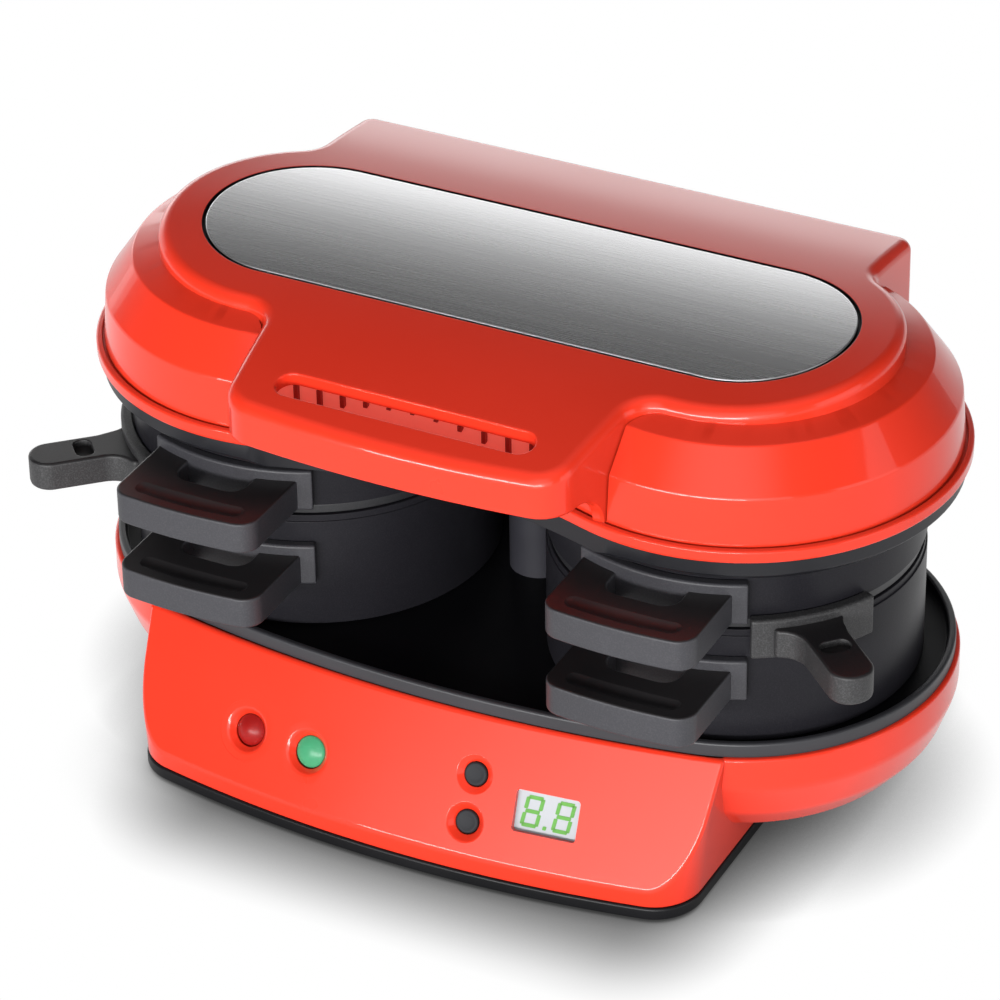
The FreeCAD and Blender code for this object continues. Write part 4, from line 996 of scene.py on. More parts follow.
@dataclass
class Lid:
    """Red lid with its deck, grip tongue and steel plate."""

    crown_top: float = 153.0
    crown_y: float = 8.8
    crown_radius: float = 399.0
    deck_radius: float = 46.0
    deck_round: float = 3.4
    deck_border: float = 0.3
    tongue_root: float = 58.2
    tongue_tip: float = 52.5
    tongue_front: float = 89.0
    tongue_bow: float = 420.0
    tongue_bottom: float = 128.5
    tongue_corner: float = 11.0
    cove: float = 9.0
    rear_half: float = 91.0
    rear_back: float = 72.6
    rear_corner: float = 4.8
    rear_drop: float = 3.4
    rear_fade: float = 40.0
    lip: float = 3.6
    lip_inner: float = 0.8
    lip_outer: float = 1.1
    ceiling: float = 133.0
    arch_y: float = 76.2
    arch_z: float = 115.2
    arch_radius: float = 13.4
    arch_margin: float = 2.0
    slot_half: float = 35.7
    slot_radius: float = 4.5
    slot_y: float = 74.3
    slot_depth: float = 11.0
    slot_plate: float = 3.8
    slot_under: float = 1.2
    slot_border: float = 1.0
    slot_round: float = 0.5
    slot_edge: float = 0.3
    slot_bend: float = 0.6
    slot_inset: float = 1.2
    rib_count: int = 11
    rib_pitch: float = 7.4
    rib_sag: float = 9.0
    rib_least: float = 0.2
    rib_width: float = 1.3
    rib_depth: float = 1.6
    rib_inset: float = 0.6
    rib_round: float = 0.25
    seam_gap: float = 0.4
    seam_depth: float = 3.0
    seam_low: float = 117.4
    seam_high: float = 145.0
    seam_x: tuple[float, float] = (48.0, 68.0)
    seam_y: float = 44.0
    seam_round: float = 0.45
    seam_angle: float = 40.0
    waist: float = 11.0
    waist_facets: int = 40
    frame_radius: float = 64.4
    frame_middle: float = 110.0
    frame_edge: float = 1.2
    tool_height: float = 40.0
    tool_facets: int = 360
    plate_half: float = 69.9
    plate_radius: float = 32.0
    plate_gap: float = 0.85
    plate_thick: float = 1.2
    plate_body: float = 1.1
    plate_flange: float = 2.0
    plate_inset: float = 1.2
    plate_round: float = 0.45
    plate_border: float = 0.01
    plate_side: float = 0.3
    plate_reach: float = 10.0
    bed_border: float = 0.5
    bed_round: float = 0.35
    bed_inset: float = 1.2
    bed_skin: float = 0.04
    strip: float = 3.0
    bend_margin: float = 2.0
    profile: tuple[Corner, ...] = (
        Corner(58, 113.2), Corner(66.1, 113.2, 0.7), Corner(66.1, 117.0, 0.8), Corner(64.3, 117.3, 0.3),
        Corner(64.1, 116.2), Corner(63.3, 116.2), Corner(63.6, 117.6, 0.35), Corner(62.5, 131.7, 2.4),
        Corner(54.0, 143.7, 1.2), Corner(44.0, 146.2))

    def deck_track(self) -> Track:
        """Plan of the deck: tongue, cove, round end, cove and rear.

        Returns:
            The track.
        """
        bow_y = self.tongue_bow - self.tongue_front
        tip_y = bow_y - math.sqrt(self.tongue_bow ** 2 - self.tongue_tip ** 2)
        root = Vector((self.tongue_root, -self.deck_radius))
        along = (root - Vector((self.tongue_tip, tip_y))).normalized()
        out = Vector((along.y, -along.x))
        heading = math.degrees(math.atan2(along.y, along.x))
        base = root - out * self.tongue_corner - Vector((0, bow_y))
        reach = self.tongue_bow - self.tongue_corner
        back = base.dot(along) + math.sqrt(base.dot(along) ** 2 - base.length_squared + reach ** 2)
        corner = root - out * self.tongue_corner - along * back
        swing = math.degrees(math.atan2(corner.x, bow_y - corner.y))
        track = Track(0, -self.tongue_front).turn(0, bow_y, swing, 18)
        track.turn(corner.x, corner.y, heading - swing, 24)
        slope = along.x / along.y
        for share in range(0, 91, 6):
            y = -self.arch_y + self.arch_radius * math.sin(math.radians(share))
            if y > track.spot.y:
                track.run_to(root.x + slope * (y - root.y), y)
        cove_y = -self.deck_radius - self.cove
        cove_x = root.x + out.x * self.cove + slope * (cove_y - root.y - out.y * self.cove)
        track.run_to(cove_x - out.x * self.cove, cove_y - out.y * self.cove)
        track.turn(cove_x, cove_y, -heading, 24).run_to(STATION_X, -self.deck_radius)
        rear_x = self.rear_half + self.cove
        rear_y = math.sqrt((self.deck_radius + self.cove) ** 2 - (rear_x - STATION_X) ** 2)
        bearing = math.degrees(math.atan2(rear_y, rear_x - STATION_X))
        track.turn(STATION_X, 0, 90 + bearing).turn(rear_x, rear_y, -bearing, 18)
        inner_x, inner_y = self.rear_half - self.rear_corner, self.rear_back - self.rear_corner
        track.run_to(self.rear_half, inner_y).turn(inner_x, inner_y, 90, 12)
        return track.run_to(0, self.rear_back)

    def bend_to_crown(self, form: Form, lowest: float) -> None:
        """Bend the upper part of a form to the crowned top.

        Args:
            form: The form.
            lowest: Height from which it bends.
        """
        for vert in form.bm.verts:
            if vert.co.z > lowest:
                away = vert.co.y - self.crown_y
                vert.co.z += math.sqrt(self.crown_radius ** 2 - away ** 2) - self.crown_radius

    def bed(self) -> Form:
        """Recess of the steel plate: a rounded border, a wall and a floor.

        Returns:
            The recess's own walls.
        """
        radius, top, floor = self.plate_radius, self.crown_top, self.crown_top - self.plate_thick
        corners = [Corner(radius + self.bed_round + self.bed_border, top),
                   Corner(radius, top, self.bed_round), Corner(radius, floor, self.plate_thick / 3),
                   Corner(radius - self.bed_inset, floor)]
        form = Form().mould(corners, stadium_track(self.plate_half, radius), [floor])
        # Faces below the deck's skin take the near-black: painted shade in the gap round the plate.
        return form.paint(3, lambda face: face.calc_center_median().z < top - self.bed_skin)

    def slot(self) -> Form:
        """Grip slot: a plain edge, then a wider hollow with ribs that hang down its back wall.

        Returns:
            The slot's own walls and ribs.
        """
        radius, top, floor = self.slot_radius, self.crown_top, self.crown_top - self.slot_depth
        under, wide = top - self.slot_plate, radius + self.slot_under
        corners = [Corner(radius + self.slot_border, top), Corner(radius, top, self.slot_round),
                   Corner(radius, under, self.slot_edge), Corner(wide, under - self.slot_edge),
                   Corner(wide, floor, self.slot_bend), Corner(radius - self.slot_inset, floor)]
        form = Form().mould(corners, stadium_track(self.slot_half, radius), [floor])
        # The hollow takes the pale glowing red as painted light; the ribs below take a dark red as painted
        # shade.
        form.paint(1, lambda face: face.calc_center_median().z < under)
        ribs = Form()
        for index in range(self.rib_count):
            x = (index - (self.rib_count - 1) / 2) * self.rib_pitch
            drop = min(self.rib_least + self.rib_sag * (x / self.slot_half) ** 2, under - floor)
            size = Matrix.Diagonal((self.rib_width, self.rib_depth, drop, 1.0))
            place = Matrix.Translation((x, wide - self.rib_inset, under - drop / 2))
            bmesh.ops.create_cube(ribs.bm, size=1.0, matrix=place @ size)
        # The ribs take the dark red of painted shade.
        ribs.soften(ribs.sharp(), self.rib_round, 2).paint(2, lambda face: True)
        return form.add(ribs).shift(y=-self.slot_y)

    def seam(self) -> Form:
        """Narrow frame round the deck's walls, which parts the moulding below from them.

        Returns:
            The frame, as the shape that is taken away.
        """
        inner, outer = self.tongue_front - self.seam_depth, self.tongue_front + self.seam_gap
        corners = [Corner(inner, self.seam_low), Corner(outer, self.seam_low), Corner(outer, self.seam_high),
                   Corner(inner, self.seam_high)]
        return Form().mould(corners, self.deck_track(), closed=True).tidy()

    def deck(self) -> Form:
        """Crowned deck with the tongue, the plate's recess and the grip slot.

        Returns:
            The deck.
        """
        front, inner, top = self.tongue_front, self.tongue_front - self.lip, self.crown_top
        corners = [Corner(inner, self.ceiling), Corner(inner, self.tongue_bottom, self.lip_inner),
                   Corner(front, self.tongue_bottom, self.lip_outer), Corner(front, top, self.deck_round),
                   Corner(front - self.deck_round - self.deck_border, top)]
        form = Form().mould(corners, self.deck_track(), [self.ceiling])
        for vert in form.bm.verts:
            if vert.co.z < self.ceiling - self.arch_margin:
                vert.co.z -= self.arch_drop(vert.co)
        form.add(self.bed()).add(self.slot())
        form.slice(form.fill(form.rim(top)), self.strip)
        self.bend_to_crown(form, top - self.slot_depth - self.bend_margin)
        return form

    def arch_drop(self, spot: Vector) -> float:
        """How far the lower edge of the deck's wall reaches down at a place.

        Args:
            spot: The place.

        Returns:
            The distance.
        """
        full = self.tongue_bottom - self.arch_z
        if spot.y > 0:
            return self.rear_drop + (full - self.rear_drop) * max(0.0, 1 - spot.y / self.rear_fade)
        along = (spot.y + self.arch_y) / self.arch_radius
        if along <= 0:
            return 0.0
        return full - self.arch_radius * math.sqrt(max(0.0, 1 - along ** 2)) if along < 1 else full

    def lobe_track(self) -> Track:
        """Plan of the moulding: round ends joined by a hollow front and a straight back.

        Returns:
            The track.
        """
        reach = self.waist_reach()
        swing = math.degrees(math.atan2(STATION_X, reach))
        track = Track(0, self.waist).turn(0, -reach, -swing, self.waist_facets)
        return track.turn(STATION_X, 0, 180 + swing).run_to(0, 0)

    def waist_reach(self) -> float:
        """Distance in front of the middle at which the hollow front has its centre."""
        return (STATION_X ** 2 - self.waist ** 2) / (2 * self.waist)

    def underframe(self) -> Form:
        """Black frame under the moulding, from its node, with the same hollow front.

        Returns:
            The frame.
        """
        form, tool, reach = Form(), Form(), self.waist_reach()
        form.bm.from_mesh(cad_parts["lid_underframe"].data)
        form.move(Matrix.Scale(1 / MM, 4)).shift(y=-DEPTH_SHIFT)
        radius = reach + self.waist - self.frame_radius
        place = Matrix.Translation((0, -reach, self.frame_middle))
        bmesh.ops.create_cone(tool.bm, cap_ends=True, segments=self.tool_facets, radius1=radius,
                              radius2=radius, depth=self.tool_height, matrix=place)
        return form.carve(tool)

    def shell(self) -> Form:
        """Stepped moulding below the deck: flange, groove, wall, slope and ledge."""
        rims = [self.profile[0].up, self.profile[-1].up]
        return Form().mould(self.profile, self.lobe_track(), rims, self.waist)

    def plate(self) -> Form:
        """Steel plate, crowned like the deck.

        Returns:
            The plate.
        """
        radius, top = self.plate_radius - self.plate_gap, self.crown_top
        under = top - self.plate_body
        corners = [Corner(radius - self.plate_flange, under), Corner(radius, under),
                   Corner(radius, top, self.plate_round), Corner(radius - self.plate_inset, top)]
        form = Form().mould(corners, stadium_track(self.plate_half, radius), [under])
        form.slice(form.fill(form.rim(top)), self.strip)
        form.paint(1, lambda face: face.calc_center_median().z < top - self.plate_border)
        # The plate's lower side takes the near-black: painted shade in the gap round it.
        form.paint(2, lambda face: face.calc_center_median().z < top - self.plate_side)
        self.bend_to_crown(form, top - self.plate_reach)
        return form

    def build(self) -> None:
        """Build the lid's pieces."""
        form = self.shell().tidy().carve(self.seam())
        near, far = self.seam_x
        lips = [e for e in form.sharp(self.seam_angle) if e.is_convex and all(
            near < abs(v.co.x) < far and v.co.y < -self.seam_y and self.seam_low < v.co.z < self.seam_high
            for v in e.verts)]
        form.soften(lips, self.seam_round, 3).add(self.deck().tidy())
        form.finish("lid_shell", "lid", [RED, SLOT_LIT_RED, RIB_SHADE_RED, SHADE_BLACK], ["lid_cover"], "red_plastic")
        self.plate().finish("steel_plate", "lid", [STEEL, PLATE_EDGE, SHADE_BLACK], ["steel_inlay"],
                            "brushed_steel")
        under = self.underframe().finish("lid_frame", "lid", [BLACK], ["lid_underframe"], "black_plastic")
        rounded(under, self.frame_edge)


@dataclass
class Base:
    """Red base: pedestal with the leaning panel, two wings, and the black foot below."""

    low: float = 5.0
    high: float = 46.4
    low_half: float = 90.3
    low_front: float = 90.7
    low_bow: float = 405.0
    low_back: float = 67.7
    high_half: float = 93.5
    high_front: float = 71.2
    high_bow: float = 434.0
    high_back: float = 68.0
    band_top: float = 10.6
    edge: float = 1.0
    aside: float = -1.5
    corner: float = 15.0
    tool_half: float = 115.0
    tool_front: float = 130.0
    tool_under: float = 8.0
    tool_over: float = 10.0
    heel: float = 6.0
    weld: float = 0.3
    panel_angle: float = 15.0
    wing_radius: float = 64.6
    wing_front: float = 71.0
    wing_low: float = 15.5
    foot_reach: float = 0.3
    foot_low: float = 1.0
    foot_round: float = 0.8
    window_x: tuple[float, float] = (30.0, 60.0)
    window_y: float = 60.0
    window_z: tuple[float, float] = (12.0, 40.0)
    window_angle: float = 50.0
    window_round: float = 0.7
    cord_x: float = 45.0
    cord_z: float = 16.0
    cord_radius: float = 5.5
    cord_depth: float = 40.0

    def plan(self, up: float, lowest: float) -> tuple[float, float]:
        """Bowed outline of the leaning panel at a height.

        Args:
            up: The height.
            lowest: Height at which the panel begins.

        Returns:
            Reach and radius of the outline.
        """
        share = (up - lowest) / (self.high - lowest)
        front = self.low_front + (self.high_front - self.low_front) * share
        return front, self.low_bow + (self.high_bow - self.low_bow) * share

    def panel_frame(self, x: float, z: float, lowest: Optional[float] = None) -> Matrix:
        """Frame on the front panel: X along it, Y up it and Z out of it.

        Args:
            x: Place across.
            z: Height.
            lowest: Height at which the panel begins, or None for the pedestal's lower edge.

        Returns:
            The frame's matrix.
        """
        start = self.low if lowest is None else lowest

        def spot(across: float, up: float) -> Vector:
            """Point on the panel at a place across and a height."""
            front, bow = self.plan(up, start)
            return Vector((across, bow - front - math.sqrt(bow ** 2 - across ** 2), up))

        along = (spot(x + 1, z) - spot(x - 1, z)).normalized()
        rise = spot(x, z + 1) - spot(x, z - 1)
        rise = (rise - along * rise.dot(along)).normalized()
        matrix = Matrix((along, rise, along.cross(rise))).transposed().to_4x4()
        matrix.translation = spot(x, z)
        return matrix

    def dish_frame(self, x: float, z: float) -> tuple[Matrix, float]:
        """Frame on the panel's skin in front of a control.

        Args:
            x: Control's place across.
            z: Control's height.

        Returns:
            The frame's matrix, and how far the control's own frame lies behind the skin.
        """
        seat, skin = self.panel_frame(x, z), self.panel_frame(x, z, self.band_top)
        out, normal = seat.col[2].xyz, skin.col[2].xyz
        sunk = (skin.translation - seat.translation).dot(normal) / out.dot(normal)
        skin.translation = seat.translation + out * sunk
        return skin, sunk

    def cord_place(self) -> Matrix:
        """Place of the lead's bore in the back wall."""
        place = Matrix.Translation((self.cord_x, self.low_back, self.cord_z))
        return place @ Matrix.Rotation(math.pi / 2, 4, "X")

    def loft(self, lower: tuple[Track, float], upper: tuple[Track, float]) -> Form:
        """Closed body between two outlines.

        Args:
            lower: Lower outline and its height.
            upper: Upper outline and its height.

        Returns:
            The body.
        """
        form = Form()
        for track, up in (lower, upper):
            form.trace(track, up)
        form.mirrored()
        bmesh.ops.bridge_loops(form.bm, edges=form.loose())
        for _, up in (lower, upper):
            bmesh.ops.edgeloop_fill(form.bm, edges=form.rim(up))
        return form.tidy()

    def lean_tool(self) -> Form:
        """All that lies before the leaning panel, as the shape that is taken away.

        Returns:
            The shape.
        """
        def outline(up: float) -> tuple[Track, float]:
            """Outline of the shape at a height.

            Args:
                up: The height.

            Returns:
                The track and the height.
            """
            front, bow = self.plan(up, self.band_top)
            swing = math.degrees(math.asin(self.tool_half / bow))
            track = Track(0, -front).turn(0, bow - front, swing, 32)
            return track.run_to(track.spot.x, -self.tool_front, 1).run_to(0, -self.tool_front, 8), up

        return self.loft(outline(self.band_top - self.tool_under), outline(self.high + self.tool_over))

    def pedestal(self) -> Form:
        """Pedestal: nearly upright walls, cut by the leaning panel.

        Returns:
            The pedestal.
        """
        front, bow, corner, heel = self.low_front, self.low_bow, self.corner, self.heel
        foot = foot_track(self.low_half, front, bow, self.low_back, corner, heel)
        head = foot_track(self.high_half, front, bow, self.high_back, corner, heel)
        form = self.loft((foot, self.low), (head, self.high)).carve(self.lean_tool())
        bmesh.ops.remove_doubles(form.bm, verts=form.bm.verts, dist=self.weld)
        return form.soften(form.sharp(self.panel_angle), self.edge, 5, clamp=False).shift(x=self.aside)

    def wings(self) -> Form:
        """Wings that carry the tray to both sides.

        Returns:
            The wings.
        """
        front, low, high = self.wing_front, self.wing_low, self.high
        corners = [Corner(front - 24, low), Corner(front - 12, low, 6.0), Corner(front - 4, 25.0, 9.0),
                   Corner(front, 36.0, 9.0), Corner(front, high, 0.9), Corner(front - 4, high)]
        return Form().mould(corners, bowed_track(self.wing_radius, front), [low, high]).tidy()

    def foot(self) -> Form:
        """Black foot under the pedestal.

        Returns:
            The foot.
        """
        form, more = Form(), self.foot_reach
        form.trace(foot_track(self.low_half + more, self.low_front + more, self.low_bow, self.low_back + more,
                              self.corner, self.heel), self.foot_low)
        form.mirrored()
        form.slab(self.low - self.foot_low)
        return form.soften(form.sharp(), self.foot_round, 3).shift(x=self.aside)

    def build(self, controls: "Controls") -> None:
        """Build the base's pieces.

        Args:
            controls: The controls, which sink dishes into the panel.
        """
        cord = Form()
        bmesh.ops.create_cone(cord.bm, cap_ends=True, segments=48, radius1=self.cord_radius,
                              radius2=self.cord_radius, depth=self.cord_depth, matrix=self.cord_place())
        body = self.pedestal().carve(controls.dishes(self)).carve(cord)
        (left, right), (low, high) = self.window_x, self.window_z
        rims = [e for e in body.sharp(self.window_angle) if e.is_convex and all(
            low < v.co.z < high and v.co.y < -self.window_y and left < v.co.x < right for v in e.verts)]
        bmesh.ops.remove_doubles(body.bm, verts=list({v for e in rims for v in e.verts}), dist=self.weld)
        body.soften([e for e in rims if e.is_valid], self.window_round, 4)
        body.add(self.wings())
        body.finish("housing_shell", "base", [RED], ["base_housing"], "red_plastic")
        self.foot().finish("foot_band", "base", [FOOT_BLACK], ["bottom_cover"], "black_plastic")


@dataclass
class Controls:
    """Lamps, timer buttons and display on the front panel."""

    lamp_z: float = 24.3
    red_x: float = -52.7
    green_x: float = -31.4
    lamp_radius: float = 4.7
    lamp_dish: float = 0.5
    lamp_flare: float = 1.9
    lamp_sink: float = 0.3
    lamp_body: float = 3.0
    red_dome: float = 2.0
    green_dome: float = 1.2
    button_x: float = 21.8
    upper_z: float = 31.2
    lower_z: float = 18.4
    button_radius: float = 3.5
    button_dish: float = 0.4
    button_flare: float = 2.3
    button_body: float = 3.5
    bore_low: float = 7.0
    bore_gap: float = 0.9
    mouth_gap: float = 0.25
    mouth_low: float = 0.7
    mouth_high: float = 0.5
    lip_bend: float = 1.5
    lip_border: float = 2.5
    lip_rise: float = 0.05
    tool_rise: float = 6.0
    display_x: float = 45.1
    display_z: float = 24.7
    display_width: float = 19.4
    display_rise: float = 12.2
    display_sink: float = 1.0
    display_depth: float = 16.0
    display_corner: float = 1.1
    digit_height: float = 9.4
    digit_width: float = 5.6
    digit_stroke: float = 1.15
    digit_slant: float = 0.14
    digit_pitch: float = 9.5
    digit_thick: float = 0.16
    digit_round: float = 0.3
    digit_lift: float = 0.04

    def dish(self, radius: float, depth: float, flare: float) -> Form:
        """Dished hole for a round control with a rounded lip, as the shape that is taken away.

        Args:
            radius: Radius of the control.
            depth: Depth of the dish.
            flare: How far the dish widens.

        Returns:
            The shape.
        """
        bore, mouth, lip = radius + self.bore_gap, radius + self.mouth_gap, radius + flare
        return Form().lathe([Corner(0, -self.bore_low), Corner(bore, -self.bore_low),
                             Corner(bore, -depth - self.mouth_low), Corner(mouth, -depth - self.mouth_high),
                             Corner(mouth, -depth), Corner(lip, 0.0, self.lip_bend),
                             Corner(lip + self.lip_border, self.lip_rise),
                             Corner(lip + self.lip_border, self.tool_rise), Corner(0, self.tool_rise)], 72)

    def dishes(self, base: Base) -> Form:
        """All the shapes that are taken out of the panel.

        Args:
            base: The base, which knows its panel.

        Returns:
            The shapes, placed.
        """
        tools = Form()
        for x in (self.red_x, self.green_x):
            place, sunk = base.dish_frame(x, self.lamp_z)
            tools.add(self.dish(self.lamp_radius, self.lamp_dish + sunk, self.lamp_flare).move(place))
        for z in (self.upper_z, self.lower_z):
            place, sunk = base.dish_frame(self.button_x, z)
            tools.add(self.dish(self.button_radius, self.button_dish + sunk, self.button_flare).move(place))
        window = Form()
        bmesh.ops.create_cube(window.bm, size=1.0, matrix=Matrix.Diagonal(
            (self.display_width, self.display_rise, self.display_depth, 1.0)))
        window.soften(window.upright(1.0), self.display_corner, 5)
        return tools.add(window.move(base.panel_frame(self.display_x, self.display_z)))

    def lamp(self, dome: float) -> Form:
        """Lamp lens: a bezel ring and a dome.

        Args:
            dome: Height of the dome.

        Returns:
            The lens.
        """
        r, low = self.lamp_radius, -self.lamp_body
        return Form().lathe([Corner(0, dome), Corner(r * 0.62, dome * 0.86, r), Corner(r - 0.35, 0.0, 0.5),
                             Corner(r, -0.4, 0.3), Corner(r, low), Corner(0, low)], 56)

    def button(self) -> Form:
        """Timer button with a rounded, slightly hollow cap.

        Returns:
            The button.
        """
        r, low = self.button_radius, -self.button_body
        return Form().lathe([Corner(0, 0.05), Corner(r * 0.55, 0.2, 3.0), Corner(r, 0.55, 0.7),
                             Corner(r, low), Corner(0, low)], 48)

    def digits(self) -> Form:
        """Two figures of seven strokes and the point between them.

        Returns:
            The figures, flat about the middle of the display.
        """
        form = Form()
        width, half, stroke = self.digit_width / 2, self.digit_height / 2, self.digit_stroke
        flat = self.digit_width - stroke * 1.1
        tall = half - stroke * 1.05
        bars = [(0, y, flat, stroke) for y in (-half + stroke / 2, 0, half - stroke / 2)]
        bars += [(x * (width - stroke / 2), y * half / 2, stroke, tall) for x in (-1, 1) for y in (-1, 1)]
        spots = [(x + side * self.digit_pitch / 2, y, w, h) for side in (-1, 1) for x, y, w, h in bars]
        spots.append((0, -half + stroke / 2, stroke, stroke))
        for x, y, w, h in spots:
            place = Matrix.Translation((x + self.digit_slant * y, y, 0))
            size = Matrix.Diagonal((w, h, self.digit_thick, 1.0))
            for vert in bmesh.ops.create_cube(form.bm, size=1.0, matrix=place @ size)["verts"]:
                vert.co.x += self.digit_slant * (vert.co.y - y)
        return form.soften(form.upright(0.1), self.digit_round, 3)

    def build(self, base: Base) -> None:
        """Build the controls.

        Args:
            base: The base, which knows its panel.
        """
        lamps = (("red_lamp", self.red_x, self.red_dome, RED_LENS, "power_lamp", "red_lens"),
                 ("green_lamp", self.green_x, self.green_dome, GREEN_LENS, "ready_lamp", "green_lens"))
        for name, x, dome, finish, node, slot in lamps:
            place = base.panel_frame(x, self.lamp_z) @ Matrix.Translation((0, 0, -self.lamp_sink))
            self.lamp(dome).move(place).finish(name, "base", [finish], [node], slot)
        for label, z in (("up", self.upper_z), ("down", self.lower_z)):
            place = base.panel_frame(self.button_x, z)
            self.button().move(place).finish("button_cap_" + label, "button_" + label, [BUTTON],
                                             ["timer_button_" + label], "black_plastic")
        lift = Matrix.Translation((0, 0, -self.display_sink + self.digit_lift))
        place = base.panel_frame(self.display_x, self.display_z) @ lift
        self.digits().move(place).finish("display_digits", "base", [DIGIT], slot="green_lens")


@dataclass
class Tray:
    """Black drip tray that hangs over the wings, with a raised border."""

    radius: float = 63.3
    front: float = 70.0
    low: float = 46.4
    high: float = 51.0
    floor: float = 48.0
    wall: float = 2.2
    notch_y: float = 55.7
    notch_half: float = 89.8
    notch_depth: float = 40.0
    notch_rise: float = 30.0
    skirt: float = 20.0
    border: float = 6.0
    border_low: float = 1.2
    border_out: float = 20.0

    def build(self) -> None:
        """Build the tray."""
        front, low, high = self.front, self.low, self.high
        inner = front - self.wall
        corners = [Corner(front - self.skirt, low), Corner(front, low, 0.4), Corner(front, high, 0.9),
                   Corner(inner, high, 0.7), Corner(inner, self.floor, 1.0),
                   Corner(front - self.border, self.floor)]
        form = Form().mould(corners, bowed_track(self.radius, front), [low, self.floor]).tidy()
        notch = Form()
        size = Matrix.Diagonal((2 * self.notch_half, self.notch_depth, self.notch_rise, 1.0))
        place = Matrix.Translation((0, self.notch_y + self.notch_depth / 2, (low + high) / 2))
        bmesh.ops.create_cube(notch.bm, size=1.0, matrix=place @ size)
        form.carve(notch)
        # Painted light and shade: the border's top and outer faces take the lighter grey, and the floor and
        # inner walls take the near-black of painted shade.
        form.paint(1, lambda face: face.calc_center_median().z > high - self.border_low or face.normal.xy.dot(
            face.calc_center_median().xy) > self.border_out)
        form.finish("tray_pan", "base", [SHADE_BLACK, LIT_BORDER_BLACK], ["drip_tray"], "black_plastic")


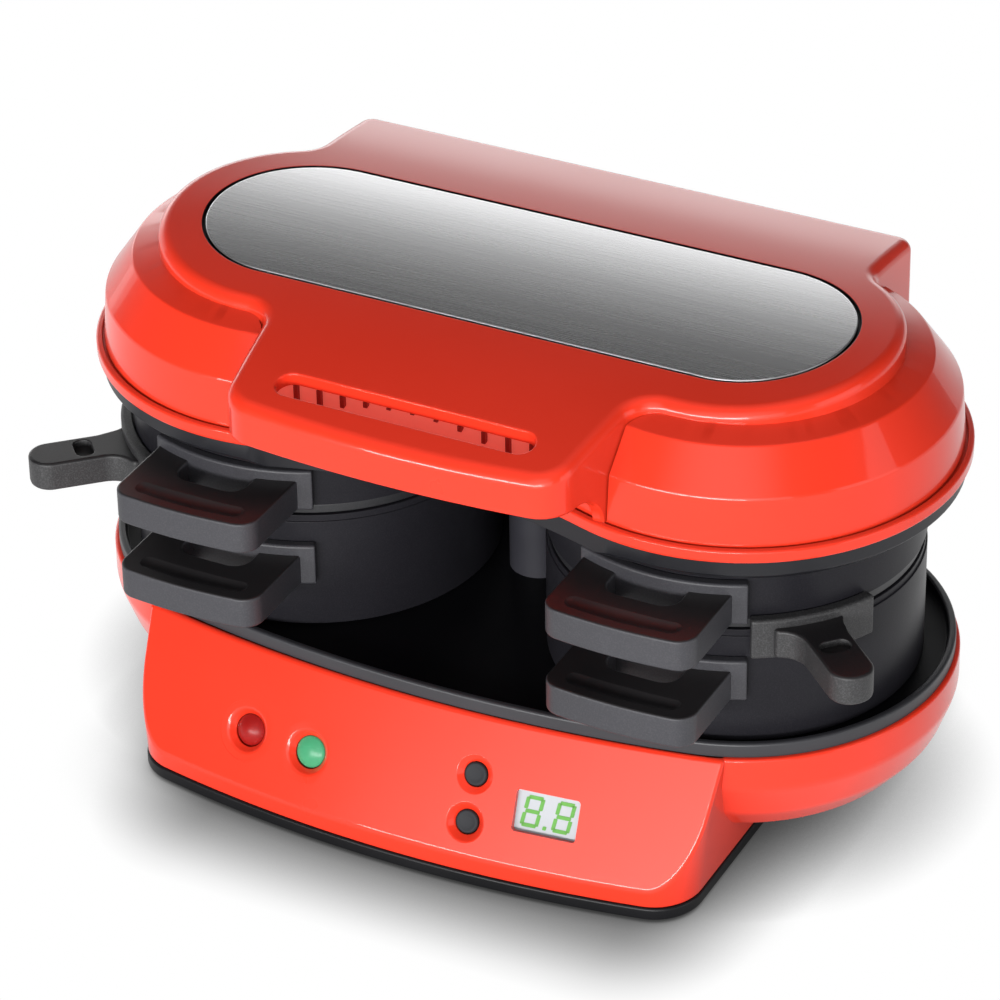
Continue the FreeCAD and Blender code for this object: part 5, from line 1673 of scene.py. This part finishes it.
@dataclass
class Stack:
    """Front handles and cooking plate handle of one ring stack."""

    side: Side
    half: float = 23.0
    reach: float = 82.6
    bow: float = 160.0
    corner: float = 6.0
    thick: float = 9.8
    upper_top: float = 99.7
    lower_top: float = 74.2
    notch_half: float = 11.0
    notch_reach: float = 66.5
    notch_corner: float = 5.0
    root_radius: float = 57.0
    edge: float = 0.8
    bead: float = 1.7
    bead_margin: float = 3.0
    grip_facing: float = 0.6
    groove_half: float = 3.1
    groove_depth: float = 0.8
    groove_run: float = 14.5
    groove_inset: float = 6.5
    bracket_in: float = 55.05
    bracket_out: float = 58.2
    bracket_half: float = 25.5
    bracket_rise: float = 3.2
    bracket_drop: float = 10.0
    bracket_edge: float = 0.9
    bar_turn: float = 47.0
    bar_reach: float = 88.0
    bar_half: float = 6.5
    bar_top: float = 88.5
    bar_thick: float = 9.2
    bar_cove: float = 8.0
    bar_swing: float = 75.0
    bar_edge: float = 1.0
    bar_facing: float = 0.7
    back_flare: float = 0.25
    bracket_turn: float = 1.7
    bar_nose: float = 6.2
    flange_in: float = 55.2
    flange_out: float = 58.8
    flange_angle: float = 18.5
    flange_low: float = 78.4
    flange_high: float = 91.2
    flange_edge: float = 1.1
    flange_sink: float = 1.0
    dimple_reach: float = 71.5
    dimple_size: tuple[float, float, float] = (9.0, 5.5, 4.0)
    dimple_corner: float = 2.5
    dimple_round: float = 0.4
    dimple_margin: float = 4.0

    def band(self, inner: float, outer: float, low: float, high: float, angle: float, edge: float) -> Form:
        """Curved plate round the ring's axis, centred on the front.

        Args:
            inner: Inner radius.
            outer: Outer radius.
            low: Lower edge.
            high: Upper edge.
            angle: Half of its angle in degrees.
            edge: Rounding of its edges.

        Returns:
            The plate.
        """
        form = Form()
        edges = form.wire([Corner(inner, low), Corner(outer, low, edge), Corner(outer, high, edge),
                           Corner(inner, high, edge * 0.6)], closed=True)
        form.move(Matrix.Rotation(math.radians(-angle), 4, "Z"))
        first = list(edges)
        last = form.sweep(edges, [Turn(0, 0, 2 * angle, 20)])
        for loop in (first, last):
            bmesh.ops.edgeloop_fill(form.bm, edges=loop)
        form.tidy()
        ends = [e for e in form.sharp(60) if any(len(f.verts) > 4 for f in e.link_faces)]
        return form.soften(ends, edge, 3)

    def grip(self) -> Form:
        """Front handle: a bowed bar on two arms, with a finger gap behind it and a beaded top.

        Returns:
            The handle, about its ring's axis and from height 0 up.
        """
        form = Form()
        root = -math.sqrt(self.root_radius ** 2 - self.half ** 2)
        inner = -math.sqrt(self.root_radius ** 2 - self.notch_half ** 2)
        bend = self.notch_reach - self.notch_corner
        track = bowed_front(self.half, self.reach, self.bow, self.corner, (12, 10)).run_to(self.half, root, 3)
        track.run_to(self.notch_half, inner, 2).run_to(self.notch_half, -bend, 1)
        track.turn(self.notch_half - self.notch_corner, -bend, -90, 8).run_to(0, -self.notch_reach, 1)
        form.trace(track, 0)
        form.mirrored()
        form.slab(self.thick)
        form.soften(form.sharp(50), self.edge, 4)
        form.carve(self.groove_tool())
        rim = [e for e in form.sharp(12) if e.is_convex and all(
            abs(v.co.z - self.thick) < NEAR and abs(v.co.x) < self.half - self.bead_margin for v in e.verts)]
        return form.soften(rim, self.bead, 5)

    def groove_tool(self) -> Form:
        """Bent, round-ended bar that presses the thumb groove into the top of a grip.

        Returns:
            The bar, as the shape that is taken away.
        """
        tool = Form()
        radius = (self.groove_half ** 2 + self.groove_depth ** 2) / (2 * self.groove_depth)
        bmesh.ops.create_uvsphere(tool.bm, u_segments=24, v_segments=16, radius=radius,
                                  matrix=Matrix.Rotation(math.radians(90), 4, "Y"))
        for vert in tool.bm.verts:
            if abs(vert.co.x) > NEAR:
                vert.co.x += math.copysign(self.groove_run, vert.co.x)
        cuts = [e for e in tool.bm.edges if abs(e.verts[0].co.x - e.verts[1].co.x) > self.groove_run / 2]
        bmesh.ops.subdivide_edges(tool.bm, edges=cuts, cuts=7, use_grid_fill=True)
        for vert in tool.bm.verts:
            vert.co.y += vert.co.x ** 2 / (2 * self.bow)
        return tool.shift(y=-self.reach + self.groove_inset, z=self.thick + radius - self.groove_depth)

    def handle(self, level: Level) -> None:
        """Build the front handle of one ring.

        Args:
            level: Which ring.
        """
        top = self.upper_top if level is Level.UPPER else self.lower_top
        angle = math.degrees(math.asin(self.bracket_half / self.bracket_out))
        form = self.grip().shift(z=top - self.thick)
        form.paint(1, lambda face: face.normal.z < self.grip_facing)
        bracket = self.band(self.bracket_in, self.bracket_out, top - self.bracket_drop,
                            top + self.bracket_rise, angle, self.bracket_edge)
        bracket.move(Matrix.Rotation(math.radians(self.bracket_turn), 4, "Z"))
        form.add(bracket.paint(1, lambda face: True))
        form.shift(x=self.side.value * STATION_X, y=-RING_OFFSET)
        label = level.value + "_handle_" + self.side.label
        form.finish("grip_" + level.value + "_" + self.side.label, level.value + "_" + self.side.label,
                    [GRIP_TOP, GRIP_SIDE], [label], "grip_plastic")

    def plate_bar(self) -> None:
        """Build the stub handle of the cooking plate, with its curved flange and dimple."""
        form = Form()
        end, half, cove, nose = -self.bar_reach, self.bar_half, self.bar_cove, self.bar_nose
        start, root = -self.flange_out - cove, -self.flange_in - self.flange_sink
        track = Track(0, end).run_to(half - nose, end).turn(half - nose, end + nose, 90, 14)
        track.run_to(half, start, 3).turn(half + cove, start, -self.bar_swing, 10)
        track.run_to(track.spot.x, root, 1).run_to(0, root, 1)
        form.trace(track, self.bar_top - self.bar_thick)
        form.mirrored()
        form.slab(self.bar_thick)
        form.soften(form.sharp(50), self.bar_edge, 3)
        tool = Form()
        place = Matrix.Translation((0, -self.dimple_reach, self.bar_top))
        bmesh.ops.create_cube(tool.bm, size=1.0, matrix=place @ Matrix.Diagonal((*self.dimple_size, 1.0)))
        form.carve(tool.soften(tool.upright(1.0), self.dimple_corner, 6))
        rims = [e for e in form.sharp(50) if e.is_convex and all(
            abs(v.co.z - self.bar_top) < NEAR and abs(v.co.y + self.dimple_reach) < self.dimple_margin
            for v in e.verts)]
        form.soften(rims, self.dimple_round, 3)
        for vert in form.bm.verts:
            flare = max(0.0, vert.co.x * self.side.value - half)
            vert.co.x -= self.side.value * flare * (1 - self.back_flare)
        form.paint(1, lambda face: face.normal.z < self.bar_facing)
        flange = self.band(self.flange_in, self.flange_out, self.flange_low, self.flange_high,
                           self.flange_angle, self.flange_edge)
        form.add(flange.paint(1, lambda face: True))
        form.move(Matrix.Rotation(math.radians(self.side.value * self.bar_turn), 4, "Z"))
        form.shift(x=self.side.value * STATION_X, y=-RING_OFFSET)
        label = "plate_handle_" + self.side.label
        form.finish("stub_" + self.side.label, "plate_" + self.side.label, [STUB_TOP, STUB_SIDE], [label],
                    "grip_plastic")

    def build(self) -> None:
        """Build the stack's handles."""
        for level in Level:
            self.handle(level)
        self.plate_bar()


@dataclass(frozen=True)
class Dressing:
    """Finish and edge rounding for nodes that keep their own mesh."""

    finish: Finish
    nodes: tuple[str, ...]
    edge: float = 0.0

    def build(self) -> None:
        """Dress each node."""
        for name in self.nodes:
            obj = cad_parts[name]
            obj.data.materials.clear()
            obj.data.materials.append(self.finish.material())
            if self.edge:
                rounded(obj, self.edge)
            weigh(obj)
            LOG.info("dressed %s", name)


def both(*names: str) -> tuple[str, ...]:
    """Names of nodes on both sides."""
    return tuple(name + "_" + side.label for name in names for side in Side)


DRESSINGS = (
    # The hinge tower takes the lighter black of painted light.
    Dressing(LIT_TOWER_BLACK, ("hinge_tower",), 0.5),
    Dressing(COATING, both("lower_ring", "upper_ring"), 0.4),
    Dressing(PLATE_COAT, both("cooking_plate"), 0.4),
    Dressing(ALUMINIUM, both("lower_heater", "upper_heater", "lower_element", "upper_element")),
    Dressing(PLAIN_STEEL, both("thermostat", "plate_pin") + ("hinge_rod", "base_screws", "lid_screws")),
    Dressing(RUBBER, ("rubber_feet", "cord_gland")),
    Dressing(DISPLAY, ("display_module", "display_window")),
    Dressing(BOARD, ("control_board",)),
    Dressing(BLACK, ("tact_switches",)),
)


def bearing(azimuth: float, elevation: float) -> Vector:
    """Direction from the object at an azimuth and elevation in degrees."""
    az, el = math.radians(azimuth), math.radians(elevation)
    return Vector((math.sin(az) * math.cos(el), -math.cos(az) * math.cos(el), math.sin(el)))


@dataclass(frozen=True)
class Softbox:
    """Area light aimed at the object."""

    name: str
    azimuth: float
    elevation: float
    distance: float
    width: float
    height: float
    power: float

    def build(self, aim: Vector) -> None:
        """Hang the light.

        Args:
            aim: Point that it faces.
        """
        back = bearing(self.azimuth, self.elevation)
        light = bpy.data.lights.new(self.name, "AREA")
        light.shape, light.size, light.size_y, light.energy = "RECTANGLE", self.width, self.height, self.power
        obj = bpy.data.objects.new(self.name, light)
        turn = back.to_track_quat("Z", "Y").to_matrix().to_4x4()
        obj.matrix_world = Matrix.Translation(aim + back * self.distance) @ turn
        bpy.context.scene.collection.objects.link(obj)


@dataclass(frozen=True)
class Glow:
    """Soft bright patch of the room round the object."""

    azimuth: float
    elevation: float
    level: float
    inner: float
    outer: float

    def wire(self, graph: Graph, facing: bpy.types.NodeSocket) -> bpy.types.NodeSocket:
        """Brightness of the patch.

        Args:
            graph: The world's tree.
            facing: Direction that is looked in.

        Returns:
            The brightness.
        """
        near = graph.node("ShaderNodeVectorMath", operation="DOT_PRODUCT")
        graph.feed(near.inputs[0], facing)
        near.inputs[1].default_value = bearing(self.azimuth, self.elevation)
        far, close = math.cos(math.radians(self.outer)), math.cos(math.radians(self.inner))
        return graph.node("ShaderNodeMapRange", interpolation_type="SMOOTHSTEP", Value=near.outputs["Value"],
                          From_Min=far, From_Max=close, To_Min=0.0, To_Max=self.level).outputs[0]


@dataclass
class Studio:
    """Pale floor with a painted shadow, soft light, sky and camera."""

    azimuth: float = 27.5749
    elevation: float = 32.0785
    distance: float = 1.398014
    target: tuple[float, float, float] = (-0.0094546, 0.0092, 0.0713084)
    roll: float = -1.0289
    lens: float = 169.614
    sensor: float = 36.0
    boxes: tuple[Softbox, ...] = (
        Softbox("key_box", 32.0, 10.5, 1.5, 1.0, 0.6, 3.0),
        Softbox("strip_light", 2.0, 9.0, 1.6, 1.6, 0.2, 29.0),
        Softbox("left_box", -118.0, 8.0, 1.5, 1.0, 0.6, 1.5),
        Softbox("right_box", 88.0, 13.0, 1.5, 0.9, 0.8, 3.5),
    )
    glows: tuple[Glow, ...] = (Glow(14.0, 25.0, 1.5, 4.0, 36.0), Glow(27.0, 80.0, 0.35, 5.0, 55.0))
    behind: tuple[float, float] = (-0.53, 0.848)
    rear_from: float = 0.8
    rear_full: float = 0.98
    rear_sky: tuple[tuple[float, float], ...] = (
        (0.0, 0.68), (0.18, 0.85), (0.26, 0.8), (0.345, 0.43), (0.44, 0.26), (0.56, 0.15), (0.67, 0.05),
        (0.82, 0.006))
    front_sky: tuple[tuple[float, float], ...] = ((0.0, 0.05), (0.3, 0.035), (0.6, 0.006))
    sky_peak: float = 4.0
    shade_reach: float = 0.03
    shade_curve: float = 1.18
    shade_peak: float = 1.05
    shade_even: float = 0.87
    shadow_size: tuple[float, float] = (0.0652, 0.069)
    shadow_middle: tuple[float, float] = (0.0062, -0.0067)
    shadow_fade: float = 0.0476
    shadow_dark: float = 0.676
    floor_radius: float = 6.0
    floor_least: float = 0.05
    floor_pale: tuple[float, float] = (0.86, 0.88)
    mottle_scale: float = 60.0

    def camera(self) -> None:
        """Place the camera."""
        back, roll = bearing(self.azimuth, self.elevation), math.radians(self.roll)
        right = (-back).cross(Vector((0, 0, 1))).normalized()
        up = right.cross(-back)
        level, rise = math.cos(roll), math.sin(roll)
        right, up = right * level + up * rise, up * level - right * rise
        data = bpy.data.cameras.new("photo_camera")
        data.lens, data.sensor_width = self.lens, self.sensor
        obj = bpy.data.objects.new("photo_camera", data)
        matrix = Matrix((right, up, back)).transposed().to_4x4()
        matrix.translation = Vector(self.target) + back * self.distance
        obj.matrix_world = matrix
        bpy.context.scene.collection.objects.link(obj)
        bpy.context.scene.camera = obj

    def painted_shadow(self, graph: Graph, spot: bpy.types.NodeSocket) -> bpy.types.NodeSocket:
        """Painted shadow: share of open floor, from 0 under the object to 1 away from it.

        Args:
            graph: The floor's tree.
            spot: Place on the floor.

        Returns:
            The share, by the distance from a rounded box under the object.
        """
        passed = spot
        for how, other in (("SUBTRACT", (*self.shadow_middle, 0.0)), ("ABSOLUTE", None),
                           ("SUBTRACT", (*self.shadow_size, 0.0)), ("MAXIMUM", (0.0, 0.0, 0.0)),
                           ("LENGTH", None)):
            step = graph.node("ShaderNodeVectorMath", operation=how)
            graph.feed(step.inputs[0], passed)
            if other:
                step.inputs[1].default_value = other
            passed = step.outputs["Value" if how == "LENGTH" else "Vector"]
        return graph.node("ShaderNodeMapRange", interpolation_type="SMOOTHSTEP", Value=passed,
                          From_Max=self.shadow_fade).outputs[0]

    def floor_finish(self) -> bpy.types.Material:
        """Pale floor with a painted shadow under the object, from ambient occlusion and a rounded box,
        turning plain white away from it.

        Returns:
            The material.
        """
        made = bpy.data.materials.new("pale_floor_painted_shadow")
        made.use_nodes = True
        made.node_tree.nodes.clear()
        graph = Graph(made.node_tree)
        spot = graph.node("ShaderNodeTexCoord").outputs["Object"]
        # Painted shadow: the floor darkens towards a rounded box under the object.
        share = self.painted_shadow(graph, spot)
        mottle = graph.node("ShaderNodeTexNoise", Vector=spot, Scale=self.mottle_scale, Detail=2.0).outputs[0]
        pale = graph.mix(mottle, shade(WHITE, self.floor_pale[0]), shade(WHITE, self.floor_pale[1]))
        # Painted shade: ambient occlusion darkens the floor's colour and its glow near the object.
        open_sky = graph.node("ShaderNodeAmbientOcclusion", samples=16, Distance=self.shade_reach)
        bare = graph.math("POWER", open_sky.outputs["AO"], self.shade_curve)
        light = graph.spread(share, (1 - self.shadow_dark) * self.shade_peak, self.shade_peak)
        bare = graph.math("MINIMUM", graph.math("MULTIPLY", bare, light), 1.0)
        plain = graph.node("ShaderNodeBsdfDiffuse")
        graph.feed(plain.inputs["Color"], graph.mix(bare, shade(WHITE, self.floor_least), pale))
        glow = graph.node("ShaderNodeEmission", Strength=graph.math("MAXIMUM", bare, self.floor_least))
        path = graph.node("ShaderNodeLightPath")
        seen = graph.math("MAXIMUM", path.outputs["Is Camera Ray"], path.outputs["Is Glossy Ray"])
        seen = graph.math("MAXIMUM", seen, path.outputs["Is Transmission Ray"])
        blend = graph.node("ShaderNodeMixShader")
        even = graph.spread(share, self.shade_even, 1.0)
        graph.feed(blend.inputs[0], graph.math("MULTIPLY", even, seen))
        graph.feed(blend.inputs[1], plain.outputs[0])
        graph.feed(blend.inputs[2], glow.outputs[0])
        graph.feed(graph.node("ShaderNodeOutputMaterial").inputs["Surface"], blend.outputs[0])
        return made

    def floor(self) -> None:
        """Lay the floor."""
        bm = bmesh.new()
        bmesh.ops.create_circle(bm, cap_ends=True, segments=96, radius=self.floor_radius)
        mesh = bpy.data.meshes.new("floor")
        bm.to_mesh(mesh)
        bm.free()
        mesh.materials.append(self.floor_finish())
        obj = bpy.data.objects.new("floor", mesh)
        bpy.context.scene.collection.objects.link(obj)

    def ramp(self, graph: Graph, source: object,
             stops: Sequence[tuple[float, float]]) -> bpy.types.NodeSocket:
        """Brightness by height, through stops.

        Args:
            graph: Tree to add to.
            source: Height from 0 at the horizon to 1 overhead.
            stops: Height and brightness of each stop.

        Returns:
            The brightness.
        """
        made = graph.node("ShaderNodeValToRGB", Fac=source)
        made.color_ramp.interpolation = "EASE"
        elements = made.color_ramp.elements
        while len(elements) < len(stops):
            elements.new(1.0)
        for element, (height, level) in zip(elements, stops):
            element.position, element.color = height, (level, level, level, 1.0)
        return made.outputs[0]

    def sky(self) -> None:
        """Light the room: a bright band low behind the object, and dim overhead and in front."""
        world = bpy.data.worlds.new("studio")
        world.use_nodes = True
        world.node_tree.nodes.clear()
        graph = Graph(world.node_tree)
        facing = graph.node("ShaderNodeTexCoord").outputs["Object"]
        height = graph.node("ShaderNodeSeparateXYZ", Vector=facing).outputs[2]
        toward = graph.node("ShaderNodeVectorMath", operation="DOT_PRODUCT")
        graph.feed(toward.inputs[0], facing)
        toward.inputs[1].default_value = (*self.behind, 0.0)
        rear = graph.node("ShaderNodeMapRange", interpolation_type="SMOOTHSTEP",
                          Value=toward.outputs["Value"], From_Min=self.rear_from,
                          From_Max=self.rear_full).outputs[0]
        front_glow = self.ramp(graph, height, self.front_sky)
        glow = graph.mix(rear, front_glow, self.ramp(graph, height, self.rear_sky))
        level = graph.math("MULTIPLY", glow, self.sky_peak)
        for patch in self.glows:
            level = graph.math("ADD", level, patch.wire(graph, facing))
        light = graph.node("ShaderNodeBackground", Color=shade(WHITE, 1.0), Strength=level)
        graph.feed(graph.node("ShaderNodeOutputWorld").inputs["Surface"], light.outputs[0])
        bpy.context.scene.world = world

    def build(self) -> None:
        """Set the stage."""
        self.camera()
        self.floor()
        self.sky()
        for box in self.boxes:
            box.build(Vector(self.target))
        bpy.context.scene.view_settings.view_transform = "Standard"


def main() -> None:
    """Build every piece and the stage."""
    logging.basicConfig(level=logging.INFO, format="%(message)s")
    base, controls = Base(), Controls()
    base.build(controls)
    controls.build(base)
    Tray().build()
    for side in Side:
        Stack(side).build()
    Lid().build()
    for dressing in DRESSINGS:
        dressing.build()
    Studio().build()


if __name__ == "__main__":
    main()
